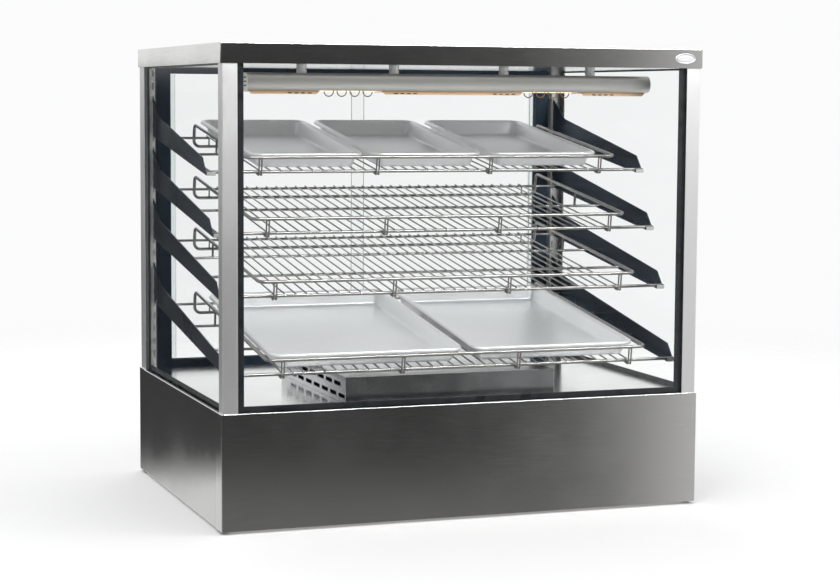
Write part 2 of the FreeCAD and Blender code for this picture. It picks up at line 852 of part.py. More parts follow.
def make_end_caps():
    low = hood_axis_z - hood_radius - end_cap_drop
    return group([rounded_bar(hood_radius, -hood_rear_y, start, end_cap_thick, low)
                  for start in (hood_half, -hood_half - end_cap_thick)])


def make_spacers():
    places = [side * x for side in (-1, 1) for x in (spacer_inner, spacer_outer)]
    return group([cylinder(spacer_radius, (x, spacer_back - hood_axis_y,
                                           canopy_under - spacer_tall), spacer_tall)
                  for x in places])


def make_lamp_holders():
    blocks = []
    top = hood_axis_z + hood_radius - metal
    for side in (-1, 1):
        for end in (-1, 1):
            middle = lamp_offset * side + (lamp_length / 2 + holder_half) * end
            blocks.append(box((middle - holder_half, middle + holder_half),
                              (-lamp_y - holder_deep, holder_deep - lamp_y),
                              (hood_axis_z - holder_drop, top)))
    return group(blocks)


def make_lamps():
    return group([cylinder(lamp_radius, (lamp_offset * side - lamp_length / 2, -lamp_y,
                                         hood_axis_z - lamp_drop), lamp_length, "x")
                  for side in (-1, 1)])


def value(name):
    """A driving dimension read back from the sheet, for shapes built directly."""
    return float(sheet.get(name))


def tube(path, radius):
    start = path.Edges[0]
    point = start.valueAt(start.FirstParameter)
    normal = start.tangentAt(start.FirstParameter)
    profile = Part.Wire(Part.makeCircle(radius, point, normal))
    return path.makePipeShell([profile], True, False)


def wave(middle, y, z, low_radius, high_radius, loops):
    """A wire wave along X: half circles hang down, with smaller ones standing up between."""
    edges = []
    pitch = 2 * (low_radius + high_radius)
    x = middle - pitch * loops / 2 + high_radius
    for step in range(2 * loops - 1):
        radius = -low_radius if step % 2 == 0 else high_radius
        ends = [FreeCAD.Vector(x + 2 * abs(radius) * share, y, z) for share in (0, 0.5, 1)]
        ends[1].z += radius
        edges.append(Part.Arc(*ends).toShape())
        x = ends[2].x
    return Part.Wire(edges)


def make_lamp_guards():
    """Two wave-shaped wires at the hood's mouth, one in front of each lamp."""
    guards = doc.addObject("Part::Feature", "lamp_guards")
    height = hood_axis_z.value - value("hood_radius") + value("lamp_guard_lift")
    radii = value("lamp_guard_low"), value("lamp_guard_high")
    wires = [tube(wave(side * value("lamp_offset"), -value("lamp_guard_y"), height, *radii, 4),
                  value("lamp_guard_wire"))
             for side in (-1, 1)]
    guards.Shape = Part.makeCompound(wires)
    return guards


add_node(make_lamp_hood(), "lamp_hood")
add_node(make_end_caps(), "lamp_end_caps")
add_node(make_spacers(), "lamp_spacers")
add_node(make_lamp_holders(), "lamp_holders")
add_node(make_lamps(), "quartz_lamps")
add_node(make_lamp_guards(), "lamp_guards")

# ---------------------------------------------------------------- shelves


def make_bracket(shelf):
    """Right arm of a shelf: a hook and a tongue in the upright's slots, and a flange with a lip."""
    body = new_body("bracket")
    base = arm_height(shelf)
    tip = shelf_ref - arm_length(shelf) * level
    rear = upright_front - panel_gap

    def under(y):
        return base + slope * (y - shelf_ref)

    knee = shelf_ref - bracket_knee
    nose = tip + bracket_nose
    shoulder = tip + bracket_nose_back
    neck = hook_height(shelf) + hook_play
    hook_front = upright_front + post_metal + hook_gap
    hook_rear = hook_front + hook_thick
    sketch = new_sketch(body, "YZ", bracket_inner)
    polygon(sketch, [
        (tip, under(tip)), (rear, under(rear)),
        (rear, base + tongue_low), (hook_rear, base + tongue_low),
        (hook_rear, base + tongue_high), (rear, base + tongue_high),
        (rear, neck), (hook_front, neck), (hook_front, neck - hook_down),
        (hook_rear, neck - hook_down), (hook_rear, neck + hook_tall), (rear, neck + hook_tall),
        (rear, base + bracket_rear_tall), (knee, under(knee) + bracket_tall),
        (shoulder, under(shoulder) + bracket_nose_tall),
        (nose, under(nose) + bracket_lip), (tip, under(tip) + bracket_lip)])
    pad(body, sketch, bracket_metal)
    flange = new_sketch(body, "YZ", bracket_inner - flange_wide)
    start = tip - bracket_metal
    end = shelf_ref - flange_end
    polygon(flange, [
        (start, under(start)), (end, under(end)), (end, under(end) + bracket_metal),
        (tip, under(tip) + bracket_metal), (tip, under(tip) + bracket_lip),
        (start, under(tip) + bracket_lip)])
    pad(body, flange, flange_wide + bracket_metal / 2)
    return body


def make_rack(shelf):
    """Wire deck: fine wires front to back, welded on cross wires that rest on the arms."""
    body = new_body("rack")
    arm = arm_length(shelf)
    seat = wire_rail * 2 + bracket_metal
    front = rack_front - arm
    length = arm - rack_rear - rack_front
    fine = new_sketch(body, "XZ", rack_rear)
    circle(fine, -wire_pitch * (wire_count - 1) / 2, seat, wire_fine)
    wire = pad(body, fine, length)
    row_of(body, wire, "X", wire_pitch * (wire_count - 1), wire_count)
    cross = new_sketch(body, "YZ")
    circle(cross, front + wire_rail, seat - wire_rail, wire_rail)
    for y in cross_places(shelf):
        circle(cross, y, bracket_metal + wire_cross, wire_cross)
    pad(body, cross, (bracket_inner - rack_end_gap) * 2, midplane=True)
    return on_shelf(body, shelf)


def rounded_loop(corners, radius):
    """A closed path of straight runs joined by tangent arcs."""
    corners = [FreeCAD.Vector(*corner) for corner in corners]
    edges = []
    count = len(corners)
    bends = []
    for index, corner in enumerate(corners):
        before = (corners[index - 1] - corner).normalize()
        after = (corners[(index + 1) % count] - corner).normalize()
        turn = math.pi - before.getAngle(after)
        reach = radius * math.tan(turn / 2)
        inward = (before + after).normalize()
        middle = corner + inward * (radius / math.cos(turn / 2) - radius)
        bends.append((corner + before * reach, middle, corner + after * reach))
    for index, (start, middle, end) in enumerate(bends):
        edges.append(Part.Arc(start, middle, end).toShape())
        edges.append(Part.LineSegment(end, bends[(index + 1) % count][0]).toShape())
    return Part.Wire(edges)


def make_guard(shelf):
    """Fence round the rack: one bent loop, low at the rear, on double posts hooked in front."""
    arm = arm_length(shelf).value
    half = value("guard_half")
    rise = value("guard_rise")
    front = -arm - value("guard_ahead")
    rear = -value("guard_rear")
    low = -value("guard_below")
    fine = value("wire_fine_radius")
    corners = [(-half, rear, low), (-half, rear, rise), (-half, front, rise),
               (half, front, rise), (half, rear, rise), (half, rear, low)]
    pieces = [tube(rounded_loop(corners, value("guard_bend")), value("wire_rail_radius"))]
    foot = -value("guard_foot")
    pin_lift = FreeCAD.Vector(0, 0, value("guard_pin_lift"))
    back = FreeCAD.Vector(0, 1, 0)
    pair = -value("guard_post_half"), value("guard_post_half")
    for place_x in (-1.5, -0.5, 0.5, 1.5):
        for shift in pair:
            base = FreeCAD.Vector(place_x * value("guard_post_pitch") + shift, front, foot)
            pieces.append(Part.makeCylinder(fine, rise - foot, base))
            pieces.append(Part.makeCylinder(value("guard_pin_radius"), value("guard_pin_long"),
                                            base + pin_lift, back))
    deck = value("bracket_metal") + 2 * value("wire_cross_radius")
    gap = value("weld_gap")
    for side in (-1, 1):
        for shift in pair:
            base = FreeCAD.Vector(side * half, cross_places(shelf)[1].value + shift, deck + gap)
            pieces.append(Part.makeCylinder(fine, rise - base.z, base))
        tie = FreeCAD.Vector(side * value("guard_tie_x"), rear, low)
        seat = value("bracket_metal") + 2 * value("wire_rail_radius") - fine - gap
        pieces.append(Part.makeCylinder(fine, seat - low, tie))
    guard = doc.addObject("Part::Feature", "guard")
    guard.Shape = pieces[0].multiFuse(pieces[1:]).removeSplitter()
    return on_shelf(guard, shelf)


def make_tray(shelf, left, right, front_gap, length):
    """Pressed tray with sloping sides and a flat rim, drawn between x = left and x = right."""
    body = new_body("tray")
    front = front_gap - arm_length(shelf)
    rear = front + length
    top = tray_rest + tray_tall

    def outline(height, inset):
        sketch = new_sketch(body, "XY", height)
        rectangle(sketch, (left + inset, right - inset), (front + inset, rear - inset))
        return sketch

    def loft(kind, low, high):
        feature = body.newObject("PartDesign::" + kind, kind.lower())
        feature.Profile = low
        feature.Sections = [high]
        return feature

    rim = new_sketch(body, "XY", top - tray_metal)
    rectangle(rim, (left, right), (front, rear))
    wall = tray_rim - tray_metal
    loft("AdditiveLoft", outline(tray_rest, tray_rim + tray_taper), outline(top, wall))
    pad(body, rim, tray_metal)
    drop = tray_taper + tray_metal
    loft("SubtractiveLoft", outline(tray_rest + tray_metal, tray_rim + drop),
         outline(top + loft_over, wall + tray_metal))
    return on_shelf(body, shelf)


TRAYS = {
    "tray_top_left": ("shelf_1", -345, -131, 3.5, 400),
    "tray_top_centre": ("shelf_1", -115, 99, 3.5, 400),
    "tray_top_right": ("shelf_1", 119, 333, 3.5, 400),
    "tray_bottom_left": ("shelf_4", -347, 12, 8, 470),
    "tray_bottom_right": ("shelf_4", 30, 348, 8, 470),
}

for shelf_name in SHELVES:
    right_bracket = make_bracket(shelf_name)
    add_node(group([right_bracket, mirrored(right_bracket)]), shelf_name + "_brackets")
    add_node(make_rack(shelf_name), shelf_name + "_rack")
    add_node(make_guard(shelf_name), shelf_name + "_guard")
for tray_name, tray_sizes in TRAYS.items():
    add_node(make_tray(*tray_sizes), tray_name)

# ---------------------------------------------------------------- heater


def make_heater_cover():
    """Box over the fan and element, open below, with two staggered rows of slots each side."""
    body = new_body("heater_cover")
    sketch = new_sketch(body, "XY", deck_top)
    rectangle(sketch, (-cover_left, cover_right), (-cover_front, cover_rear))
    pad(body, sketch, cover_tall)
    hollow = new_sketch(body, "XY", deck_top)
    rectangle(hollow, (metal - cover_left, cover_right - metal),
              (metal - cover_front, cover_rear - metal))
    pocket(body, hollow, cover_tall - metal, reverse=True)
    for rise, start in ((slot_row_low, slot_start_low), (slot_row_high, slot_start_high)):
        slots = new_sketch(body, "YZ", -cover_left)
        first = start - cover_front
        low = deck_top + rise
        rectangle(slots, (first, first + cover_slot_long), (low, low + cover_slot_tall))
        bank = pocket(body, slots, (cover_left + cover_right + tool_over) * 2, midplane=True)
        row_of(body, bank, "Y", cover_slot_pitch * 6, 7)
    return body


def make_heating_element():
    """Two rings of tubular element round the fan, with both ends down through the deck."""
    turns = []
    for rise in (element_low, element_high):
        turn = doc.addObject("Part::Torus", "turn")
        bind(turn, "Radius1", element_turn)
        bind(turn, "Radius2", element_tube)
        place(turn, fan_x, fan_y, deck_top + rise)
        turns.append(turn)
    for side in (-1, 1):
        turns.append(cylinder(element_lead, (fan_x + element_turn * side, fan_y,
                                             base_top - element_lead_drop),
                              element_lead_drop + deck_metal + element_high))
    return fuse(turns)


def make_fan_motor():
    body = cylinder(motor_radius, (fan_x, fan_y, base_top - motor_tall), motor_tall)
    bore = cylinder(shaft_radius + running_gap, (fan_x, fan_y,
                                               base_top - shaft_depth - end_gap),
                    shaft_depth + end_gap + tool_over)
    return cut(body, bore)


def make_impeller():
    """Centrifugal wheel on its shaft: back plate, hub and twelve blades."""
    body = new_body("fan_impeller")
    low = deck_top + impeller_lift
    shaft_low = base_top - shaft_depth
    shaft = new_sketch(body, "XY", shaft_low)
    circle(shaft, 0, 0, shaft_radius)
    pad(body, shaft, low + impeller_metal / 2 - shaft_low)
    plate = new_sketch(body, "XY", low)
    circle(plate, 0, 0, fan_radius)
    pad(body, plate, impeller_metal)
    hub = new_sketch(body, "XY", low)
    circle(hub, 0, 0, hub_radius)
    pad(body, hub, hub_tall)
    blade = new_sketch(body, "XY", low)
    rectangle(blade, (blade_start, fan_radius - impeller_metal),
              (-impeller_metal / 2, impeller_metal / 2))
    ring_of(body, [pad(body, blade, blade_tall)], 12)
    place(body, fan_x, fan_y, 0)
    return body


add_node(make_heater_cover(), "heater_cover")
add_node(make_heating_element(), "heating_element")
add_node(make_fan_motor(), "fan_motor")
add_node(make_impeller(), "fan_impeller")

# ---------------------------------------------------------------- controls on the rear panel


def make_thermostat():
    inside = panel_face - metal
    case = box((knob_x - thermostat_half, knob_x + thermostat_half),
               (inside - thermostat_deep, inside),
               (control_height - thermostat_half, control_height + thermostat_half))
    deep = spindle_depth + end_gap
    bore = cylinder(spindle_radius + running_gap, (knob_x, inside - deep, control_height),
                    deep + tool_over, "y")
    return cut(case, bore)


def make_knob():
    """Round knob with a raised pointer, on its own spindle."""
    inside = panel_face - metal
    front = panel_face + knob_lift + knob_deep
    spindle = cylinder(spindle_radius, (knob_x, inside - spindle_depth, control_height),
                       spindle_depth + metal + knob_lift * 2, "y")
    grip = cylinder(knob_radius, (knob_x, panel_face + knob_lift, control_height), knob_deep, "y")
    pointer = box((knob_x - pointer_half, knob_x + pointer_half),
                  (front - knob_lift, front + pointer_deep),
                  (control_height, control_height + knob_radius - pointer_half))
    return fuse([spindle, grip, pointer])


def make_bezel(middle):

    def block(half_wide, half_tall, low, high):
        return box((middle - half_wide, middle + half_wide), (panel_face + low, panel_face + high),
                   (control_height - half_tall, control_height + half_tall))

    flange = block(bezel_wide, bezel_tall, 0, bezel_thick)
    body = block(switch_hole_wide - hole_play, switch_hole_tall - hole_play, -bezel_deep,
                 bezel_thick / 2)
    well = block(well_wide, well_tall, -well_deep, bezel_thick + tool_over)
    pivot = cylinder(pivot_radius + running_gap, (middle - pivot_half - running_gap,
                     panel_face - pivot_depth, control_height), pivot_half * 2 + running_gap * 2, "x")
    return cut(fuse([flange, body]), fuse([well, pivot]))


def make_rocker(middle):
    """Rocker drawn about its pivot and tipped to its off position."""
    back_tall = rocker_tall - hook_play
    outline = [(-rocker_back, -back_tall), (-rocker_back, back_tall), (rocker_end, rocker_tall),
               (rocker_middle, 0), (rocker_end, -rocker_tall)]
    rocker = prism("rocker", "YZ", [outline], rocker_half * 2, midplane=True)
    pin = new_sketch(rocker, "YZ")
    circle(pin, 0, 0, pivot_radius)
    pad(rocker, pin, pivot_half * 2, midplane=True)
    rocker.Placement = FreeCAD.Placement(
        FreeCAD.Vector(), FreeCAD.Rotation(FreeCAD.Vector(1, 0, 0), rocker_angle.value))
    bind(rocker, "Placement.Rotation.Angle", rocker_angle)
    place(rocker, middle, panel_face - pivot_depth, control_height)
    return rocker


def make_gland():
    """Cable gland: hexagon and cap outside, thread and lock nut inside the panel."""
    axis = (gland_x, gland_height)

    def part(radius, start, length):
        return cylinder(radius, (axis[0], panel_face + start, axis[1]), length, "y")

    hexagon = doc.addObject("Part::Prism", "hexagon")
    hexagon.Polygon = 6
    bind(hexagon, "Circumradius", gland_hexagon)
    bind(hexagon, "Height", gland_hexagon_tall)
    hexagon.Placement = FreeCAD.Placement(
        FreeCAD.Vector(), FreeCAD.Rotation(FreeCAD.Vector(1, 0, 0), -90))
    place(hexagon, axis[0], panel_face, axis[1])
    solid = fuse([
        hexagon, part(gland_cap, gland_hexagon_tall / 2, gland_out - gland_hexagon_tall / 2),
        part(gland_radius, -gland_in, gland_in + tool_over),
        part(gland_nut, -metal - gland_nut_thick, gland_nut_thick)])
    reach = gland_in + tool_over
    return cut(solid, part(gland_bore, -reach, reach + gland_out + tool_over))


def make_screw(x, z):
    head = cylinder(screw_radius * 2, (x, panel_face, z), screw_head, "y")
    shank = cylinder(screw_radius, (x, panel_face - screw_shank, z),
                     screw_shank + screw_head / 2, "y")
    return fuse([head, shank])


add_node(make_thermostat(), "thermostat_body")
add_node(make_knob(), "thermostat_knob")
add_node(group([make_bezel(middle) for middle in switch_places()]), "switch_bezels")
add_node(make_rocker(switch_places()[0]), "power_switch")
add_node(make_rocker(switch_places()[1]), "light_switch")
add_node(make_gland(), "cable_gland")
add_node(group([make_screw(x, z) for x, z in screw_places()]), "panel_screws")

# ---------------------------------------------------------------- check and write

doc.recompute()
for item in doc.Objects:
    if "Invalid" in item.State or "Error" in item.State:
        raise RuntimeError(f"{item.Label} ({item.Name}) failed: {item.State}")
os.makedirs("parts", exist_ok=True)
for node in nodes:
    shape = node.Shape
    if shape.isNull() or not shape.isValid() or not shape.Solids:
        raise RuntimeError(f"{node.Label} has no valid solid")
for node in nodes:
    node.Shape.exportStep(f"parts/{node.Label}.step")
print(len(nodes), "nodes written")
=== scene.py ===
import json
import math

import bmesh
import bpy
from mathutils import Matrix, Vector


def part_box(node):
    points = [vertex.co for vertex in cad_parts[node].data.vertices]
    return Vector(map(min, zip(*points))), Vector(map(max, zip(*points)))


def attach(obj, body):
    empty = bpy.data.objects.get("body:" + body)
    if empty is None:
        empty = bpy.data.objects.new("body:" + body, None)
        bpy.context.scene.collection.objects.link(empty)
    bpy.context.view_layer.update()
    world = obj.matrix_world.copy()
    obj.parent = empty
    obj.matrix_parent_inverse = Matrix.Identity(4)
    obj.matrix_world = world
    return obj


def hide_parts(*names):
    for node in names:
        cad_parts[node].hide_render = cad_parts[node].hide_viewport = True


# Looks of a countertop hot food display case. Metres, in the frame of the CAD model: +X is the
# customer's right, +Y the operator's side, +Z up, with the origin on the table.

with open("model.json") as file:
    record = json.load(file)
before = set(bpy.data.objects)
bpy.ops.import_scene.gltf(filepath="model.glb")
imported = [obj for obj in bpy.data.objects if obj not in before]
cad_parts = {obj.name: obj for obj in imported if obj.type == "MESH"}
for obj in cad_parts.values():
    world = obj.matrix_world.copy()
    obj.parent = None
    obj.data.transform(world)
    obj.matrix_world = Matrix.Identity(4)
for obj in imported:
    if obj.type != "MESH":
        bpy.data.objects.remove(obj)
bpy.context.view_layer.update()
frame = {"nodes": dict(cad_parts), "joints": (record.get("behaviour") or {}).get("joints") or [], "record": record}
nodes = frame["nodes"]
record = frame["record"]
joints = {joint["name"]: joint for joint in frame["joints"]}
slot_of = {part["node"]: part["material_slot"] for part in record["subparts"]}
body_of = {node: body for body, members in record["behaviour"]["bodies"].items()
           for node in members}
SHELVES = ("shelf_1", "shelf_2", "shelf_3", "shelf_4")
TRAYS = [node for node in nodes if node.startswith("tray_")]
MM = 0.001

# ---------------------------------------------------------------- materials


class Paint:
    """A material built from nodes round one Principled shader."""

    def __init__(self, name, colour, metallic=0.0, roughness=0.4, **sockets):
        self.material = bpy.data.materials.new(name)
        self.material.use_nodes = True
        self.tree = self.material.node_tree
        self.shader = self.tree.nodes["Principled BSDF"]
        self.colour = (*colour, 1.0)
        self.set("Base Color", self.colour)
        self.set("Metallic", metallic)
        self.set("Roughness", roughness)
        for socket, value in sockets.items():
            self.set(socket.replace("_", " "), value)

    def set(self, socket, value):
        self.shader.inputs[socket].default_value = value

    def link(self, output, target):
        self.tree.links.new(output, target)

    def node(self, kind, **options):
        made = self.tree.nodes.new("ShaderNode" + kind)
        for option, value in options.items():
            setattr(made, option, value)
        return made

    def coordinates(self, scale=(1, 1, 1)):
        """The piece's own coordinates in metres, stretched by scale."""
        place = self.node("TexCoord")
        mapping = self.node("Mapping")
        mapping.inputs["Scale"].default_value = scale
        self.link(place.outputs["Object"], mapping.inputs["Vector"])
        return mapping.outputs["Vector"]

    def noise(self, scale, stretch=(1, 1, 1), detail=3.0):
        made = self.node("TexNoise")
        made.inputs["Scale"].default_value = scale
        made.inputs["Detail"].default_value = detail
        self.link(self.coordinates(stretch), made.inputs["Vector"])
        return made.outputs["Fac"]

    def ranged(self, source, low, high, start=0.3, stop=0.7):
        """Source, from start to stop, turned into a number from low to high."""
        made = self.node("MapRange")
        for socket, value in (("From Min", start), ("From Max", stop),
                              ("To Min", low), ("To Max", high)):
            made.inputs[socket].default_value = value
        self.link(source, made.inputs["Value"])
        return made.outputs["Result"]

    def maths(self, operation, first, second):
        made = self.node("Math", operation=operation)
        self.link(first, made.inputs[0])
        self.link(second, made.inputs[1])
        return made.outputs[0]

    def add(self, first, second):
        return self.maths("ADD", first, second)

    def product(self, first, second):
        return self.maths("MULTIPLY", first, second)

    def tint(self, factor, other):
        """Base colour that goes from the paint's own colour to another by factor."""
        made = self.node("Mix", data_type="RGBA")
        made.inputs["A"].default_value = self.colour
        made.inputs["B"].default_value = (*other, 1.0)
        self.link(factor, made.inputs["Factor"])
        self.link(made.outputs["Result"], self.shader.inputs["Base Color"])

    def rough(self, source):
        self.link(source, self.shader.inputs["Roughness"])

    def bump(self, height, distance, strength=1.0):
        made = self.node("Bump")
        made.inputs["Strength"].default_value = strength
        made.inputs["Distance"].default_value = distance
        self.link(height, made.inputs["Height"])
        self.link(made.outputs["Normal"], self.shader.inputs["Normal"])


GRAIN = {"flat": (1, 1, 90), "upright": (90, 90, 1)}


def brushed(name, colour, roughness, grain="flat", strength=0.1):
    """Brushed stainless sheet: long fine scratches, faint cloudy rolling marks and handling."""
    paint = Paint(name, colour, metallic=1.0, roughness=roughness)
    fine = paint.noise(30, GRAIN[grain], detail=6)
    coarse = paint.noise(7, GRAIN[grain], detail=2)
    cloud = paint.noise(6, detail=4)
    streaks = paint.add(paint.ranged(fine, 0, 0.6), paint.ranged(coarse, 0, 0.4))
    paint.tint(paint.product(streaks, paint.ranged(cloud, 0.3, 1.0)),
               [channel * (1 - strength) for channel in colour])
    spread = paint.add(paint.ranged(fine, -0.03, 0.04), paint.ranged(cloud, -0.02, 0.03))
    paint.rough(paint.add(spread, paint.ranged(coarse, roughness, roughness + 0.01)))
    paint.bump(fine, 0.000004, 0.3)
    return paint.material


def polished(name, colour, roughness, metallic=1.0):
    """Mirror-finished sheet with fine swirls from wiping."""
    paint = Paint(name, colour, metallic=metallic, roughness=roughness)
    swirl = paint.noise(30, (1, 3, 1), detail=3)
    smear = paint.noise(4, detail=3)
    paint.rough(paint.add(paint.ranged(swirl, roughness, roughness + 0.05),
                          paint.ranged(smear, 0.0, 0.08)))
    paint.tint(paint.ranged(smear, 0, 0.5), [channel * 0.86 for channel in colour])
    paint.bump(paint.noise(9, detail=2), 0.0003, 0.08)
    return paint.material


def painted_dark_reflection(name, colour, roughness):
    """Steel whose dark navy base colour is a painted reflection of the dark surroundings it faces: an even finish,
    a little cloudier here and there.
    """
    paint = Paint(name, colour, metallic=1.0, roughness=roughness)
    cloud = paint.noise(5, detail=3)
    paint.rough(paint.ranged(cloud, roughness - 0.03, roughness + 0.06))
    paint.tint(paint.ranged(cloud, 0, 0.5), [channel * 1.3 for channel in colour])
    paint.bump(paint.noise(700, detail=2), 0.000004, 0.3)
    return paint.material


def wire(name, colour, roughness):
    """Chromed wire: bright, with drawn lines and a few dull spots."""
    paint = Paint(name, colour, metallic=1.0, roughness=roughness)
    dull = paint.noise(45, detail=4)
    paint.rough(paint.ranged(dull, roughness, roughness + 0.08, 0.45, 0.75))
    paint.tint(paint.ranged(dull, 0, 0.5, 0.5, 0.8), [channel * 0.6 for channel in colour])
    paint.bump(paint.noise(600, detail=2), 0.000005, 0.2)
    return paint.material


def moulded(name, colour, roughness, **sockets):
    """Moulded plastic or rubber with a fine spark-eroded texture."""
    paint = Paint(name, colour, roughness=roughness, **sockets)
    grain = paint.noise(900, detail=3)
    wear = paint.noise(25, detail=4)
    paint.rough(paint.add(paint.ranged(grain, roughness - 0.06, roughness + 0.06),
                          paint.ranged(wear, -0.05, 0.08)))
    paint.tint(paint.ranged(wear, 0, 0.5), [min(1, channel * 1.5 + 0.012) for channel in colour])
    paint.bump(grain, 0.00003, 0.5)
    return paint.material


def bare_material(name):
    """A material with no nodes in it yet, and its node tree."""
    material = bpy.data.materials.new(name)
    material.use_nodes = True
    material.node_tree.nodes.clear()
    return material, material.node_tree


def glass(name, tint, edge_colour, thin_axis):
    """Clear toughened pane: see-through faces with a sheen, and darker edges."""
    material, tree = bare_material(name)

    def node(kind, **inputs):
        made = tree.nodes.new("ShaderNode" + kind)
        for socket, value in inputs.items():
            made.inputs[socket.replace("_", " ")].default_value = value
        return made

    def maths(operation, *values):
        made = tree.nodes.new("ShaderNodeMath")
        made.operation = operation
        for index, value in enumerate(values, start=1):
            made.inputs[index].default_value = value
        return made

    clear = node("BsdfTransparent", Color=(*tint, 1))
    sheen = node("BsdfGlossy", Color=(1, 1, 1, 1), Roughness=0.02)
    facing = node("LayerWeight", Blend=0.5)
    steep = maths("POWER", 5)
    least_sheen, added_sheen = 0.014, 0.1
    share = maths("MULTIPLY_ADD", added_sheen, least_sheen)
    face = node("MixShader")
    edge = node("BsdfPrincipled", Base_Color=(*edge_colour, 1), Roughness=0.12)
    normal = node("NewGeometry")
    split = node("SeparateXYZ")
    size = maths("ABSOLUTE")
    is_edge = maths("LESS_THAN", 0.5)
    whole = node("MixShader")
    out = node("OutputMaterial")
    for source, target in (
            (facing.outputs["Facing"], steep.inputs[0]), (steep.outputs[0], share.inputs[0]),
            (share.outputs[0], face.inputs[0]), (clear.outputs[0], face.inputs[1]),
            (sheen.outputs[0], face.inputs[2]),
            (normal.outputs["True Normal"], split.inputs[0]),
            (split.outputs[thin_axis], size.inputs[0]), (size.outputs[0], is_edge.inputs[0]),
            (is_edge.outputs[0], whole.inputs[0]), (face.outputs[0], whole.inputs[1]),
            (edge.outputs[0], whole.inputs[2]), (whole.outputs[0], out.inputs[0])):
        tree.links.new(source, target)
    return material


def clear_plastic(name):
    """Extruded clear plastic: almost invisible, with a soft sheen where it turns away."""
    material, tree = bare_material(name)
    clear = tree.nodes.new("ShaderNodeBsdfTransparent")
    clear.inputs["Color"].default_value = (0.95, 0.965, 0.965, 1)
    sheen = tree.nodes.new("ShaderNodeBsdfGlossy")
    sheen.inputs["Roughness"].default_value = 0.15
    facing = tree.nodes.new("ShaderNodeLayerWeight")
    facing.inputs["Blend"].default_value = 0.2
    mix = tree.nodes.new("ShaderNodeMixShader")
    out = tree.nodes.new("ShaderNodeOutputMaterial")
    for source, target in ((facing.outputs["Fresnel"], mix.inputs[0]),
                           (clear.outputs[0], mix.inputs[1]), (sheen.outputs[0], mix.inputs[2]),
                           (mix.outputs[0], out.inputs[0])):
        tree.links.new(source, target)
    return material


def ceramic(name):
    paint = Paint(name, (0.82, 0.79, 0.72), roughness=0.45, Coat_Weight=0.3, Coat_Roughness=0.2)
    speck = paint.noise(300, detail=5)
    paint.tint(paint.ranged(speck, 0, 0.35, 0.5, 0.8), (0.55, 0.45, 0.33))
    paint.bump(speck, 0.00005, 0.4)
    return paint.material


def glowing(name, colour, strength):
    paint = Paint(name, colour, roughness=0.3, Emission_Color=(*colour, 1),
                  Emission_Strength=strength)
    paint.tint(paint.ranged(paint.noise(200), 0, 0.3), (1, 0.5, 0.2))
    return paint.material


def heated(name):
    """Steel that heat has coloured in straw, brown and blue patches."""
    paint = Paint(name, (0.42, 0.36, 0.32), metallic=1.0, roughness=0.35)
    patch = paint.noise(18, detail=4)
    ramp = paint.node("ValToRGB")
    ramp.color_ramp.elements[0].color = (0.45, 0.35, 0.22, 1)
    ramp.color_ramp.elements[1].color = (0.22, 0.24, 0.34, 1)
    ramp.color_ramp.elements.new(0.5).color = (0.36, 0.3, 0.27, 1)
    paint.link(patch, ramp.inputs[0])
    paint.link(ramp.outputs[0], paint.shader.inputs["Base Color"])
    paint.rough(paint.ranged(patch, 0.3, 0.5))
    return paint.material


def painted(name, colour):
    """Stove paint with slight orange peel."""
    paint = Paint(name, colour, roughness=0.4, Coat_Weight=0.2)
    peel = paint.noise(350, detail=2)
    paint.tint(paint.ranged(paint.noise(20), 0, 0.4), [channel * 1.4 for channel in colour])
    paint.rough(paint.ranged(peel, 0.33, 0.5))
    paint.bump(peel, 0.00006, 0.5)
    return paint.material


STEEL = (0.68, 0.675, 0.665)
LOOKS = {
    "steel_brushed": brushed("steel_brushed", STEEL, 0.09),
    "steel_polished": polished("steel_polished", (0.82, 0.82, 0.82), 0.1),
    "steel_satin": brushed("steel_satin", (0.84, 0.82, 0.79), 0.46, strength=0.05),
    # The dark navy of steel_dark is a painted reflection of dark surroundings on polished steel, not a plating.
    "steel_dark": painted_dark_reflection("steel_dark", (0.055, 0.08, 0.115), 0.28),
    "wire_chrome": wire("wire_chrome", (0.36, 0.35, 0.34), 0.28),
    "tray_metal": polished("tray_metal", (0.95, 0.96, 0.97), 0.28, 0.35),
    "acrylic_clear": clear_plastic("acrylic_clear"),
    "seal_black": moulded("seal_black", (0.012, 0.015, 0.018), 0.3),
    "rubber_black": moulded("rubber_black", (0.02, 0.02, 0.02), 0.7),
    "aluminium_satin": brushed("aluminium_satin", (0.7, 0.71, 0.72), 0.34, "upright"),
    "ceramic_white": ceramic("ceramic_white"),
    "quartz": glowing("quartz", (1.0, 0.78, 0.42), 2.2),
    "badge_silver": polished("badge_silver", (0.86, 0.86, 0.87), 0.25, 0.45),
    "plastic_black": moulded("plastic_black", (0.022, 0.022, 0.024), 0.42),
    "plastic_red": moulded("plastic_red", (0.5, 0.02, 0.015), 0.22, Coat_Weight=0.4),
    "plastic_green": moulded("plastic_green", (0.02, 0.34, 0.06), 0.22, Coat_Weight=0.4),
    "motor_paint": painted("motor_paint", (0.2, 0.21, 0.23)),
    "element_sheath": heated("element_sheath"),
    "screw_steel": wire("screw_steel", (0.6, 0.6, 0.6), 0.25),
}
POST_STEEL = brushed("post_steel", (0.93, 0.93, 0.93), 0.35, "upright", 0.06)
STANDARD_STEEL = polished("standard_steel", (0.93, 0.93, 0.91), 0.4, 0.45)
# Reflector lips: steel with the lamps' warm light painted into its colour as a tan tint.
LAMPLIGHT_PAINTED_STEEL = brushed("reflector_steel", (0.9, 0.62, 0.4), 0.4, strength=0.05)
BRIGHT_CHROME = polished("bright_chrome", (0.97, 0.97, 0.97), 0.2, 0.2)
HOOD_STEEL = polished("hood_steel", (0.86, 0.84, 0.81), 0.42)
